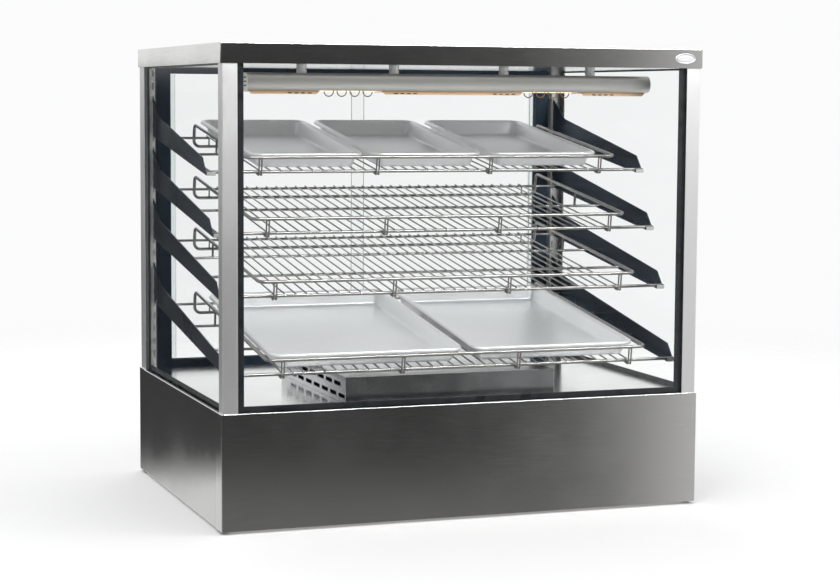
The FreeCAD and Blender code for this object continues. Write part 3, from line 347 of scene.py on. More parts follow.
# Heater cover: a darker copy of the polished steel, with painted shade in its colour.
HEATER_SHADED_STEEL = polished("heater_steel", (0.55, 0.55, 0.56), 0.12)
BRONZE = wire("guard_bronze", (0.35, 0.27, 0.18), 0.35)
# Dark material for the badge line, and for painted shade in the hood's slots and vents.
DARK_INSET = moulded("dark_inset", (0.015, 0.015, 0.017), 0.35)
WHITE_PRINT = moulded("white_print", (0.75, 0.75, 0.73), 0.5)

# ---------------------------------------------------------------- mesh helpers


def span(node):
    """(low, high) for each axis of a node."""
    low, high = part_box(node)
    return [(low[axis], high[axis]) for axis in range(3)]


def full_turn(steps):
    """Angles in radians, evenly spaced all the way round."""
    return [2 * math.pi * step / steps for step in range(steps)]


def arc(centre, radius, start, stop, steps):
    """Points of an arc in a plane; angles in degrees."""
    points = []
    for step in range(steps + 1):
        angle = math.radians(start + (stop - start) * step / steps)
        points.append((centre[0] + radius * math.cos(angle),
                       centre[1] + radius * math.sin(angle)))
    return points


def bent(corners, radius, steps=6):
    """A path of straight runs with each inner corner turned by an arc."""
    corners = [Vector(corner) for corner in corners]
    path = [corners[0]]
    for before, corner, after in zip(corners, corners[1:], corners[2:]):
        back = (before - corner).normalized()
        ahead = (after - corner).normalized()
        turn = math.pi - back.angle(ahead)
        if turn < 0.01:
            continue
        reach = radius * math.tan(turn / 2)
        middle = corner + (back + ahead).normalized() * (radius / math.cos(turn / 2))
        start = corner + back * reach - middle
        end = corner + ahead * reach - middle
        axis = start.cross(end).normalized()
        for step in range(steps + 1):
            path.append(middle + Matrix.Rotation(turn * step / steps, 3, axis) @ start)
    path.append(corners[-1])
    return path


def skin(bm, rings, closed_path=False, caps=True):
    """Faces between rings of points that all have the same number of points."""
    made = [[bm.verts.new(point) for point in ring] for ring in rings]
    pairs = list(zip(made, made[1:]))
    if closed_path:
        pairs.append((made[-1], made[0]))
    for first, second in pairs:
        count = len(first)
        for index in range(count):
            following = (index + 1) % count
            bm.faces.new((first[index], first[following], second[following], second[index]))
    if caps and not closed_path:
        bm.faces.new(list(reversed(made[0])))
        bm.faces.new(made[-1])


def rod(bm, path, radius, sides=8, closed=False):
    """A round bar along a path, with rounded ends."""
    path = [Vector(point) for point in path]
    if not closed:
        first = (path[0] - path[1]).normalized()
        last = (path[-1] - path[-2]).normalized()
        path = [path[0] + first * radius * 0.5] + path + [path[-1] + last * radius * 0.5]
    count = len(path)
    rings = []
    normal = None
    for index, point in enumerate(path):
        before = path[index - 1] if index or closed else point
        after = path[(index + 1) % count] if index + 1 < count or closed else point
        tangent = (after - before).normalized()
        if normal is None:
            normal = tangent.orthogonal()
        normal = (normal - tangent * normal.dot(tangent)).normalized()
        side = tangent.cross(normal)
        size = radius * (0.55 if not closed and index in (0, count - 1) else 1)
        rings.append([point + (normal * math.cos(angle) + side * math.sin(angle)) * size
                      for angle in full_turn(sides)])
    skin(bm, rings, closed_path=closed)


def blob(bm, centre, size):
    """A weld bead: a small squashed ball."""
    made = bmesh.ops.create_icosphere(bm, subdivisions=1, radius=1)["verts"]
    bmesh.ops.scale(bm, vec=size, verts=made)
    bmesh.ops.translate(bm, vec=centre, verts=made)


def block(bm, x, y, z):
    """A box from (low, high) pairs."""
    made = bmesh.ops.create_cube(bm, size=1)["verts"]
    bmesh.ops.scale(bm, vec=[pair[1] - pair[0] for pair in (x, y, z)], verts=made)
    bmesh.ops.translate(bm, vec=[(pair[0] + pair[1]) / 2 for pair in (x, y, z)], verts=made)


def extrude(bm, outline, place, low, high):
    """A prism of an outline; place(u, v, w) turns its coordinates into a point."""
    skin(bm, [[Vector(place(u, v, w)) for u, v in outline] for w in (low, high)])


def rounded(corners, radii, steps=4):
    """An outline whose corners are arcs of the given radii."""
    outline = []
    count = len(corners)
    for index, corner in enumerate(corners):
        radius = radii[index] if isinstance(radii, (list, tuple)) else radii
        point = Vector((*corner, 0))
        before = Vector((*corners[index - 1], 0))
        after = Vector((*corners[(index + 1) % count], 0))
        if radius <= 0:
            outline.append(corner)
            continue
        turn = bent([before, point, after], radius, steps)[1:-1]
        outline += [(spot.x, spot.y) for spot in turn]
    return outline


def rounded_rectangle(x, y, radius, z, steps=5):
    corners = [(x[0], y[0]), (x[1], y[0]), (x[1], y[1]), (x[0], y[1])]
    return [Vector((u, v, z)) for u, v in rounded(corners, radius, steps)]


def oval(centre, half_wide, half_tall, y, steps=48):
    return [Vector((centre[0] + half_wide * math.cos(angle), y,
                    centre[1] + half_tall * math.sin(angle))) for angle in full_turn(steps)]


def turned(bm, centre, profile, steps=48, flutes=0, depth=0.0):
    """A round piece along +Y from (radius, y) pairs, with optional flutes in its rim."""
    rings = []
    for radius, y in profile:
        ring = []
        for angle in full_turn(steps):
            reach = radius - (depth * (0.5 - 0.5 * math.cos(flutes * angle)) if flutes else 0)
            ring.append(Vector((centre[0] + reach * math.cos(angle), y,
                                centre[1] + reach * math.sin(angle))))
        rings.append(ring)
    skin(bm, rings)


def finished(bm, name, body, slot, material, smooth=35, bevel=0.0, *replaced):
    """Turns a bmesh into a piece of the object."""
    bmesh.ops.recalc_face_normals(bm, faces=bm.faces)
    mesh = bpy.data.meshes.new(name)
    bm.to_mesh(mesh)
    bm.free()
    mesh.shade_smooth()
    mesh.set_sharp_from_angle(angle=math.radians(smooth))
    mesh.materials.append(material)
    piece = bpy.data.objects.new(name, mesh)
    bpy.context.scene.collection.objects.link(piece)
    if bevel:
        soften(piece, bevel)
    else:
        even_shading(piece).keep_sharp = True
    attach(piece, body)
    if replaced:
        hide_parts(*replaced)
    return piece


def stand_in(bm, node, smooth=35, bevel=0.0, material=None):
    """A finished mesh shown in place of one CAD node, with that node's body and finish."""
    slot = slot_of[node]
    return finished(bm, node + "_skin", body_of[node], slot, material or LOOKS[slot],
                    smooth, bevel, node)


def detail(bm, name, node, material, slot=None, smooth=35, bevel=0.0):
    """A small extra that rides with a CAD node and belongs to it."""
    return finished(bm, name, body_of[node], slot or slot_of[node], material, smooth, bevel)


def even_shading(piece):
    """Shades the large flat faces as flat, and keeps the turn to the narrow ones."""
    even = piece.modifiers.new("even", "WEIGHTED_NORMAL")
    even.weight = 80
    return even


def soften(piece, width, segments=2):
    """Rounds the hard edges a little, as pressing and deburring do."""
    edge = piece.modifiers.new("edge", "BEVEL")
    edge.width = width
    edge.segments = segments
    edge.limit_method = "ANGLE"
    edge.angle_limit = math.radians(40)
    edge.use_clamp_overlap = True
    even_shading(piece)


def dress(node, bevel=0.0, material=None):
    """Gives a CAD node its material and, with bevel, softer edges."""
    piece = nodes[node]
    piece.data.materials.clear()
    piece.data.materials.append(material or LOOKS[slot_of[node]])
    if bevel:
        weld = piece.modifiers.new("weld", "WELD")
        weld.merge_threshold = 0.00001
        soften(piece, bevel)


# ---------------------------------------------------------------- plinth

FOLD = 1.6 * MM
SHEET = 1.2 * MM


def hollow_shell(bm, x, y, z, folded, opened):
    """A box of sheet metal, alone in bm. folded, from the normals at an edge, says whether it is
    bent; opened, from a face's normal, says whether that face is left out."""
    block(bm, x, y, z)
    bends = [edge for edge in bm.edges if folded(*[face.normal for face in edge.link_faces])]
    bmesh.ops.bevel(bm, geom=bends, offset=FOLD, segments=4, profile=0.5, affect="EDGES")
    bm.normal_update()
    bmesh.ops.delete(bm, geom=[face for face in bm.faces if opened(face.normal)],
                     context="FACES")


def thickened(piece, thickness):
    """Gives an open skin its sheet thickness, inwards."""
    shell = piece.modifiers.new("sheet", "SOLIDIFY")
    shell.thickness = thickness
    shell.offset = -1
    shell.use_even_offset = True
    piece.modifiers.move(len(piece.modifiers) - 1, 0)
    return piece


def make_base_front():
    bm = bmesh.new()
    x, y, z = span("base_front_panel")

    def folded(first, second):
        pair = (first, second)
        front = any(normal.y < -0.5 for normal in pair)
        top = any(normal.z > 0.5 for normal in pair)
        side = any(abs(normal.x) > 0.5 for normal in pair)
        return (front and (top or side)) or (top and side)

    def opened(normal):
        return normal.z < -0.9 or normal.y > 0.9

    hollow_shell(bm, x, y, z, folded, opened)
    thickened(stand_in(bm, "base_front_panel"), SHEET)


def make_base_side(node):
    """A channel with a folded ledge above and below, between two thin seams."""
    bm = bmesh.new()
    x, y, z = span(node)
    out, back = (x[0], x[1]) if node.endswith("left") else (x[1], x[0])
    inward = math.copysign(SHEET, back - out)
    lower_ledge = 0.7
    foot = out + (back - out) * lower_ledge
    corners = [(out, z[0]), (foot, z[0]), (foot, z[0] + SHEET), (out + inward, z[0] + SHEET),
               (out + inward, z[1] - SHEET), (back, z[1] - SHEET), (back, z[1]), (out, z[1])]
    tight = FOLD - SHEET
    outline = rounded(corners, [FOLD, 0, 0, tight, tight, 0, 0, FOLD])
    extrude(bm, outline, lambda u, v, w: (u, w, v), *y)
    stand_in(bm, node)


make_base_front()
make_base_side("base_side_panel_left")
make_base_side("base_side_panel_right")
dress("base_rear_panel")
dress("base_floor_pan", 0.4 * MM)
dress("deck_plate", 0.5 * MM)
dress("feet", 0.8 * MM)

# ---------------------------------------------------------------- canopy, posts and glass


def make_canopy():
    bm = bmesh.new()
    x, y, z = span("canopy_top")

    def folded(first, second):
        return first.z > -0.5 and second.z > -0.5

    hollow_shell(bm, x, y, z, folded, lambda normal: normal.z < -0.9)
    thickened(stand_in(bm, "canopy_top"), SHEET)


def angle_outline(x, y, thickness, radius, turn_x, turn_y):
    """An angle bar's outline; turn_x and turn_y are the sides its corner is on."""
    corner_x, tip_x = (x[0], x[1]) if turn_x < 0 else (x[1], x[0])
    corner_y, tip_y = (y[0], y[1]) if turn_y < 0 else (y[1], y[0])
    in_x = corner_x - turn_x * thickness
    in_y = corner_y - turn_y * thickness
    cut = 0.4 * MM
    corners = [(corner_x, corner_y), (tip_x, corner_y), (tip_x, in_y), (in_x, in_y),
               (in_x, tip_y), (corner_x, tip_y)]
    return rounded(corners, [radius, cut, cut, radius - thickness, cut, cut])


def make_posts():
    wall = 1.5 * MM
    for node, side in (("front_post_left", -1), ("front_post_right", 1)):
        bm = bmesh.new()
        x, y, z = span(node)
        extrude(bm, angle_outline(x, y, wall, FOLD, side, -1), lambda u, v, w: (u, v, w), *z)
        stand_in(bm, node, material=POST_STEEL)
    bm = bmesh.new()
    x, y, z = span("rear_posts")
    face = span("front_post_left")[0]
    wide = face[1] - face[0]
    for side in (-1, 1):
        near = (x[0], x[0] + wide) if side < 0 else (x[1] - wide, x[1])
        extrude(bm, angle_outline(near, y, wall, FOLD, side, 1), lambda u, v, w: (u, v, w), *z)
    stand_in(bm, "rear_posts", material=POST_STEEL)


def make_badge():
    """Blank oval plate: a raised bright rim round a slightly domed field."""
    x, y, z = span("badge_plate")
    centre = ((x[0] + x[1]) / 2, (z[0] + z[1]) / 2)
    half_wide = (x[1] - x[0]) / 2
    half_tall = (z[1] - z[0]) / 2
    back, front = y[1], y[0]
    bm = bmesh.new()
    rings = []
    for inset, y_place in ((0, back), (0, front + 0.3 * MM), (0.3, front), (1.3, front),
                           (1.7, front + 0.35 * MM), (2.4, front + 0.3 * MM),
                           (6.5, front + 0.12 * MM)):
        rings.append(oval(centre, half_wide - inset * MM, half_tall - inset * MM, y_place))
    skin(bm, rings)
    stand_in(bm, "badge_plate", smooth=60)
    bm = bmesh.new()
    rings = [oval(centre, half_wide - inset * MM, half_tall - inset * MM, front + rise * MM)
             for inset, rise in ((1.5, 0.5), (1.5, 0.22), (2.5, 0.22), (2.5, 0.5))]
    skin(bm, rings, closed_path=True)
    detail(bm, "badge_line", "badge_plate", DARK_INSET, "seal_black")


make_canopy()
make_posts()
make_badge()
dress("canopy_ceiling", 0.3 * MM)
dress("glass_seals", 0.2 * MM)
CLEAR_TINT = (0.99, 0.996, 0.994)
side_pane = glass("glass_side", CLEAR_TINT, (0.25, 0.28, 0.28), "X")
door_pane = glass("glass_door", CLEAR_TINT, (0.4, 0.5, 0.5), "Y")
for pane in ("side_glass_left", "side_glass_right"):
    dress(pane, material=side_pane)
for pane in ("rear_door_left", "rear_door_right"):
    dress(pane, material=door_pane)
dress("front_glass", material=glass("glass_front", CLEAR_TINT, (0.05, 0.075, 0.075), "Y"))

# ---------------------------------------------------------------- rear frame

for node in ("slotted_upright_left", "slotted_upright_right"):
    dress(node, 0.25 * MM, STANDARD_STEEL)
for node in ("rear_stiles", "door_track_bottom", "door_track_top"):
    dress(node, 0.6 * MM)
for node in ("door_handle_left", "door_handle_right"):
    dress(node, 0.3 * MM)

# ---------------------------------------------------------------- lamp bar


def hood_profile(shift=0.0):
    """Side view of the hood as (y, z): a round nose, a flat top and a straight back."""
    _, y, z = span("lamp_hood")
    radius = (z[1] - z[0]) / 2
    axis = (y[0] + radius, z[0] + radius)
    nose = arc(axis, radius - shift, -90, -270, 48)
    return nose + [(y[1] - shift, z[1] - shift), (y[1] - shift, z[0])]


def make_hood():
    """Bull-nosed hood of thin sheet, open below."""
    x = span("lamp_hood")[0]
    outer = hood_profile()
    inner = hood_profile(SHEET)
    bm = bmesh.new()
    extrude(bm, outer + inner[::-1], lambda u, v, w: (w, u, v), *x)
    stand_in(bm, "lamp_hood", bevel=0.2 * MM, material=HOOD_STEEL)


def make_end_caps():
    """A cap with a rounded rim at each end of the hood, and three slots in it drawn as dark blocks of painted
    shade.
    """
    x, y, z = span("lamp_hood")
    caps = span("lamp_end_caps")[0]
    bm = bmesh.new()
    for outside, inside in ((caps[0], x[0]), (caps[1], x[1])):
        steps = ((0, inside), (0, outside + (inside - outside) * 0.45),
                 (0.5 * MM, outside + (inside - outside) * 0.12), (1.1 * MM, outside))
        rings = [[Vector((place, u, v)) for u, v in hood_profile(shift)] for shift, place in steps]
        skin(bm, rings)
    stand_in(bm, "lamp_end_caps")
    # The slots are not cut: dark blocks stand on the cap as painted shade.
    bm = bmesh.new()
    middle = (z[0] + z[1]) / 2
    slot_y = (y[0] + 9 * MM, y[0] + 25 * MM)
    slot_tall = 2.4 * MM
    slot_pitch = 7 * MM
    for outside, way in ((caps[0], -1), (caps[1], 1)):
        reach = sorted((outside - way * 0.3 * MM, outside + way * 0.12 * MM))
        for step in (-1, 0, 1):
            low = middle + step * slot_pitch - slot_tall / 2
            block(bm, reach, slot_y, (low, low + slot_tall))
    detail(bm, "end_cap_slots", "lamp_end_caps", DARK_INSET, "steel_dark")


def make_reflectors():
    """Lower lips of the reflectors beside the lamps, coloured with painted lamplight, with groups of small vents
    drawn as dark blocks of painted shade.
    """
    x, y, z = span("lamp_hood")
    lip_y = (y[0] + 14.5 * MM, y[0] + 17 * MM)
    drop = 6 * MM
    inner_zone = 134 * MM
    outer_zone = 249 * MM
    end_gap = 3 * MM
    bm = bmesh.new()
    for low, high in ((x[0] + end_gap, -outer_zone), (-inner_zone, inner_zone),
                      (outer_zone, x[1] - end_gap)):
        corners = [(low, z[0]), (low + drop, z[0] - drop), (high - drop, z[0] - drop),
                   (high, z[0])]
        extrude(bm, rounded(corners, [0, 3 * MM, 3 * MM, 0]),
                lambda u, v, w: (u, w, v), *lip_y)
        back = y[1] - SHEET
        extrude(bm, [(low, z[0] - drop * 0.1), (low, z[0] - drop * 0.35),
                     (high, z[0] - drop * 0.35), (high, z[0] - drop * 0.1)],
                lambda u, v, w: (u, w, v), lip_y[1], back)
    detail(bm, "lamp_reflectors", "lamp_hood", LAMPLIGHT_PAINTED_STEEL, "steel_satin", bevel=0.2 * MM)
    # The vents are not cut: dark blocks on the lip are painted shade.
    from_end = 40 * MM
    vent_pitch = 12 * MM
    vent_long = 7 * MM
    vent_low, vent_high = z[0] - 4.8 * MM, z[0] - 2.9 * MM
    bm = bmesh.new()
    for centre in (-outer_zone - from_end, outer_zone + from_end, -inner_zone + from_end,
                   inner_zone - from_end):
        for step in (-1.5, -0.5, 0.5, 1.5):
            start = centre + step * vent_pitch
            end = start + vent_long
            outline = rounded([(start, vent_low), (end, vent_low), (end, vent_high),
                               (start, vent_high)], 0.8 * MM)
            extrude(bm, outline, lambda u, v, w: (u, w, v),
                    lip_y[0] - 0.15 * MM, lip_y[0] + 0.3 * MM)
    detail(bm, "reflector_vents", "lamp_hood", DARK_INSET, "steel_dark")


def make_spacers():
    """Turned pillars between hood and ceiling, each with a groove round its middle."""
    _, y, z = span("lamp_spacers")
    radius = (y[1] - y[0]) / 2
    middle = (y[0] + y[1]) / 2
    pillars = []
    for place in sorted(vert.co.x for vert in nodes["lamp_spacers"].data.vertices):
        if pillars and place - pillars[-1][-1] < radius:
            pillars[-1].append(place)
        else:
            pillars.append([place])
    bm = bmesh.new()
    tall = z[1] - z[0]
    for pillar in pillars:
        centre = (pillar[0] + pillar[-1]) / 2
        profile = [(0.96, 0), (1.0, 0.04), (1.0, 0.44), (0.82, 0.46), (0.82, 0.56), (1.0, 0.58),
                   (1.0, 0.96), (0.96, 1.0)]
        rings = []
        for share, height in profile:
            rings.append([Vector((centre + radius * share * math.cos(angle),
                                  middle + radius * share * math.sin(angle),
                                  z[0] + tall * height)) for angle in full_turn(32)])
        skin(bm, rings)
    stand_in(bm, "lamp_spacers", material=BRIGHT_CHROME)


def make_lamps():
    """Quartz tubes with pinched ends."""
    x, y, z = span("quartz_lamps")
    middle = ((y[0] + y[1]) / 2, (z[0] + z[1]) / 2)
    radius = (y[1] - y[0]) / 2
    length = 124
    half = [(0.55, 0), (0.6, 4), (0.95, 7), (1.0, 10)]
    profile = half + [(share, length - along) for share, along in reversed(half)]
    bm = bmesh.new()
    for low in (-x[1], x[1] - length * MM):
        rings = []
        for share, along in profile:
            rings.append([Vector((low + along * MM,
                                  middle[0] + radius * share * math.cos(angle),
                                  middle[1] + radius * share * math.sin(angle)))
                          for angle in full_turn(20)])
        skin(bm, rings)
    stand_in(bm, "quartz_lamps", smooth=50)


def make_guards():
    """Sprung wire loops in front of each lamp, small turns above and wide ones below."""
    x, y, z = span("lamp_guards")
    centre_y = (y[0] + y[1]) / 2
    radius = (y[1] - y[0]) / 2
    low_radius = 8.5 * MM
    high_radius = 3.5 * MM
    height = z[0] + radius + low_radius
    turns = 7
    wide_turns = (turns + 1) // 2
    length = 2 * (wide_turns * low_radius + (turns - wide_turns) * high_radius)
    bm = bmesh.new()
    for start in (x[0] + radius, x[1] - radius - length):
        path = []
        place = start
        for turn in range(turns):
            reach = low_radius if turn % 2 == 0 else high_radius
            swing = (180, 360) if turn % 2 == 0 else (180, 0)
            path += [Vector((u, centre_y, v))
                     for u, v in arc((place + reach, height), reach, *swing, 12)][:-1]
            place += 2 * reach
        path.append(Vector((place, centre_y, height)))
        rod(bm, path, radius, sides=8)
    stand_in(bm, "lamp_guards", smooth=60, material=BRONZE)


make_hood()
make_end_caps()
make_reflectors()
make_spacers()
make_lamps()
make_guards()
dress("lamp_holders", 0.6 * MM)

# ---------------------------------------------------------------- shelves

SLOPE = math.radians(8)
# Each shelf's flat starts from a line at REFERENCE_Y, this far below the axis of its lift.
REFERENCE_Y = 285 * MM
HOOK_ABOVE_ARM = 67.3 * MM
DECK_WIRES = 34
WIRE_PITCH = 20 * MM
POST_PITCH = 220.5 * MM
FINE, CROSS, RAIL = 1.5 * MM, 2.5 * MM, 3 * MM


class Shelf:
    """One tilted shelf: points are given on its own flat, with +Y up the slope."""

    def __init__(self, name):
        self.name = name
        hook = joints[name + "_lift"]["pos_m"][2]
        origin = Vector((0, REFERENCE_Y, hook - HOOK_ABOVE_ARM))
        self.matrix = Matrix.Translation(origin) @ Matrix.Rotation(SLOPE, 4, "X")

    def local_box(self, node):
        back = self.matrix.inverted()
        spots = [back @ vert.co for vert in nodes[node].data.vertices]
        return [(min(spot[axis] for spot in spots), max(spot[axis] for spot in spots))
                for axis in range(3)]

    def cross_places(self):
        """Y of the wires that run along X under the deck, from the rear, without the front one."""
        _, y, _ = self.local_box(self.name + "_rack")
        spans = 2 if self.name in ("shelf_1", "shelf_2") else 3
        rear = y[1] - 5 * MM
        front = y[0] + RAIL
        return [rear + (front - rear) * step / spans for step in range(spans)]

    def place(self, bm):
        bmesh.ops.transform(bm, matrix=self.matrix, verts=bm.verts)


def make_rack(shelf):
    """Deck of fine wires welded on cross wires, their tips bent over the front one."""
    node = shelf.name + "_rack"
    x, y, z = shelf.local_box(node)
    deck = z[1] - FINE
    front = y[0] + RAIL
    rear = y[1]
    beams = [(front, deck - RAIL, RAIL)]
    beams += [(place_y, CROSS + 2 * MM, CROSS) for place_y in shelf.cross_places()]
    beam_weld = (2.1 * MM, 2 * MM, 1.1 * MM)
    tip_weld = (2.2 * MM, 1.5 * MM, 1.8 * MM)
    bm = bmesh.new()
    for place_y, height, radius in beams:
        rod(bm, [(x[0], place_y, height), (x[1], place_y, height)], radius, sides=12)
    for step in range(DECK_WIRES):
        place_x = (step - (DECK_WIRES - 1) / 2) * WIRE_PITCH
        path = bent([(place_x, rear, deck), (place_x, y[0] + 1.6 * MM, deck),
                     (place_x, y[0] - 0.6 * MM, deck - 3.2 * MM)], 2 * MM, 3)
        rod(bm, path, FINE, sides=8)
        for place_y, height, radius in beams[1:]:
            blob(bm, (place_x, place_y, height + radius), beam_weld)
        blob(bm, (place_x, y[0] + 0.8 * MM, deck - 2.2 * MM), tip_weld)
    shelf.place(bm)
    stand_in(bm, node, smooth=60)


def make_guard(shelf):
    """Wire fence: one closed rail, low behind, and hairpin posts hooked under the rack."""
    node = shelf.name + "_guard"
    x, y, z = shelf.local_box(node)
    half = x[1] - RAIL
    rise = z[1] - RAIL
    front = y[0] + RAIL
    rear = y[1] - RAIL
    low = z[0] + RAIL
    pair = 2.5 * MM
    bm = bmesh.new()
    corners = [(0, rear, low), (-half, rear, low), (-half, rear, rise), (-half, front, rise),
               (half, front, rise), (half, rear, rise), (half, rear, low), (0, rear, low)]
    path = bent(corners, 12 * MM, 7)
    rod(bm, path[:-1], RAIL, sides=12, closed=True)
    foot = 0.6 * MM
    hook = front + 15 * MM
    for step in (-1.5, -0.5, 0.5, 1.5):
        place_x = step * POST_PITCH
        corners = [(place_x - pair, front, rise), (place_x - pair, front, foot),
                   (place_x - pair, hook, foot), (place_x + pair, hook, foot),
                   (place_x + pair, front, foot), (place_x + pair, front, rise)]
        rod(bm, bent(corners, 2.2 * MM, 4), FINE, sides=8)
        blob(bm, (place_x, front, rise - RAIL * 0.6), (5 * MM, 2.4 * MM, 2.4 * MM))
        blob(bm, (place_x, front + 9 * MM, foot + 0.4 * MM), (4.4 * MM, 2.2 * MM, 1.4 * MM))
    middle = shelf.cross_places()[1]
    deck = 2 * MM + 2 * CROSS
    for side in (-1, 1):
        for shift in (-pair, pair):
            rod(bm, [(side * half, middle + shift, deck), (side * half, middle + shift, rise)],
                FINE, sides=8)
        blob(bm, (side * half, middle, deck + 0.8 * MM), (2.2 * MM, 4.6 * MM, 1.2 * MM))
        tie = side * 330 * MM
        rod(bm, [(tie, rear, low), (tie, rear, deck - 0.6 * MM)], FINE, sides=8)
        blob(bm, (tie, rear, low + RAIL), (2.2 * MM, 2.2 * MM, 1.4 * MM))
    shelf.place(bm)
    stand_in(bm, node, smooth=60)


def make_lip(shelf):
    """Bare bright face on the upturned end of each bracket."""
    node = shelf.name + "_brackets"
    x, y, _ = shelf.local_box(node)
    bm = bmesh.new()
    for side in (-1, 1):
        outer = side * (x[1] - 0.8 * MM)
        inner = side * (x[1] - 16.4 * MM)
        block(bm, (min(outer, inner), max(outer, inner)), (y[0] - 0.15 * MM, y[0] + 0.6 * MM),
              (0.5 * MM, 6.6 * MM))
    shelf.place(bm)
    detail(bm, shelf.name + "_bracket_faces", node, LOOKS["steel_satin"], "steel_satin",
           bevel=0.1 * MM)


def make_tray(shelf, node):
    """Pressed tray: rounded corners, sloping sides and a rolled rim."""
    x, y, z = shelf.local_box(node)
    tall = z[1] - z[0]
    outer_radius = 24 * MM

    def ring(inset, height):
        inset *= MM
        return rounded_rectangle((x[0] + inset, x[1] - inset), (y[0] + inset, y[1] - inset),
                                 max(outer_radius - inset, 5 * MM), z[0] + height * MM, 6)

    # Rings as (inset, height) in millimetres, from the floor up over the rim and down outside.
    full = tall / MM
    inside = [(27, 1), (21, 1.3), (18.5, 2.6), (17.2, 5), (11, full - 5), (10, full - 2.6),
              (8.4, full - 0.9), (6.2, full), (3.6, full), (1.6, full - 0.8), (0.4, full - 2.4),
              (0, full - 4.2), (0.5, full - 6), (1.9, full - 7)]
    outside = [(2.7, full - 6.2), (1.5, full - 4.4), (2.2, full - 2.2), (4.2, full - 1.1),
               (6.4, full - 1.1), (8.6, full - 2.6), (10, full - 5.4), (16.4, 4.6),
               (17.8, 1.6), (20.5, 0.2), (27, 0)]
    bm = bmesh.new()
    rings = [ring(inset, height) for inset, height in inside + outside]
    skin(bm, rings)
    shelf.place(bm)
    stand_in(bm, node, smooth=50)


shelves = {name: Shelf(name) for name in SHELVES}
for shelf_item in shelves.values():
    dress(shelf_item.name + "_brackets", 0.4 * MM)
    make_rack(shelf_item)
    make_guard(shelf_item)
    make_lip(shelf_item)
for tray_node in TRAYS:
    make_tray(shelves["shelf_1" if "top" in tray_node else "shelf_4"], tray_node)

# ---------------------------------------------------------------- heater and controls

dress("heater_cover", 0.8 * MM, HEATER_SHADED_STEEL)
dress("heating_element")
for node, edge in (("fan_motor", 1), ("fan_impeller", 0.3), ("thermostat_body", 0.8),
                   ("switch_bezels", 0.6), ("power_switch", 0.8), ("light_switch", 0.8),
                   ("cable_gland", 0.6), ("panel_screws", 0.5)):
    dress(node, edge * MM)


def make_knob():
    """Fluted knob on a thin skirt, with a printed pointer."""
    x, y, z = span("thermostat_knob")
    centre = ((x[0] + x[1]) / 2, (z[0] + z[1]) / 2)
    radius = (x[1] - x[0]) / 2
    face = y[1] - 4 * MM
    back = face - 14 * MM
    bm = bmesh.new()
    turned(bm, centre, [(radius * 0.97, back), (radius, back + 0.6 * MM),
                        (radius, back + 1.8 * MM), (radius * 0.93, back + 2.5 * MM),
                        (radius * 0.3, back + 2.6 * MM)])
    turned(bm, centre, [(radius * 0.86, back + 2 * MM), (radius * 0.84, face - 1.4 * MM),
                        (radius * 0.78, face - 0.3 * MM), (radius * 0.6, face)],
           steps=96, flutes=16, depth=0.9 * MM)
    turned(bm, centre, [(3 * MM, y[0]), (3 * MM, back + 1 * MM)], steps=24)
    stand_in(bm, "thermostat_knob", smooth=40)
    bm = bmesh.new()
    block(bm, (centre[0] - 0.9 * MM, centre[0] + 0.9 * MM), (face - 0.5 * MM, face + 0.3 * MM),
          (centre[1] + 3 * MM, centre[1] + radius * 0.74))
    detail(bm, "knob_pointer", "thermostat_knob", WHITE_PRINT, "ceramic_white", bevel=0.2 * MM)


make_knob()

# ---------------------------------------------------------------- stage, light and camera


def make_floor():
    """A pale floor that fades into the background far from the case."""
    bm = bmesh.new()
    reach = 6.0
    rim = [Vector((reach * math.cos(angle), reach * math.sin(angle), 0))
           for angle in full_turn(64)]
    bm.faces.new([bm.verts.new(point) for point in rim])
    mesh = bpy.data.meshes.new("floor")
    bm.to_mesh(mesh)
    bm.free()
    floor = bpy.data.objects.new("floor", mesh)
    bpy.context.scene.collection.objects.link(floor)
    material, tree = bare_material("floor_paper")
    place = tree.nodes.new("ShaderNodeTexCoord")
    length = tree.nodes.new("ShaderNodeVectorMath")
    length.operation = "LENGTH"
    fade = tree.nodes.new("ShaderNodeMapRange")
    fade.interpolation_type = "SMOOTHSTEP"
    fade.inputs["From Min"].default_value = 1.0
    fade.inputs["From Max"].default_value = 3.2
    paper = tree.nodes.new("ShaderNodeBsdfDiffuse")
    paper.inputs["Color"].default_value = (0.9, 0.9, 0.9, 1)
    clear = tree.nodes.new("ShaderNodeBsdfTransparent")
    mix = tree.nodes.new("ShaderNodeMixShader")
    out = tree.nodes.new("ShaderNodeOutputMaterial")
    for source, target in ((place.outputs["Object"], length.inputs[0]),
                           (length.outputs["Value"], fade.inputs["Value"]),
                           (fade.outputs[0], mix.inputs[0]), (paper.outputs[0], mix.inputs[1]),
                           (clear.outputs[0], mix.inputs[2]), (mix.outputs[0], out.inputs[0])):
        tree.links.new(source, target)
    mesh.materials.append(material)
    floor.visible_glossy = False


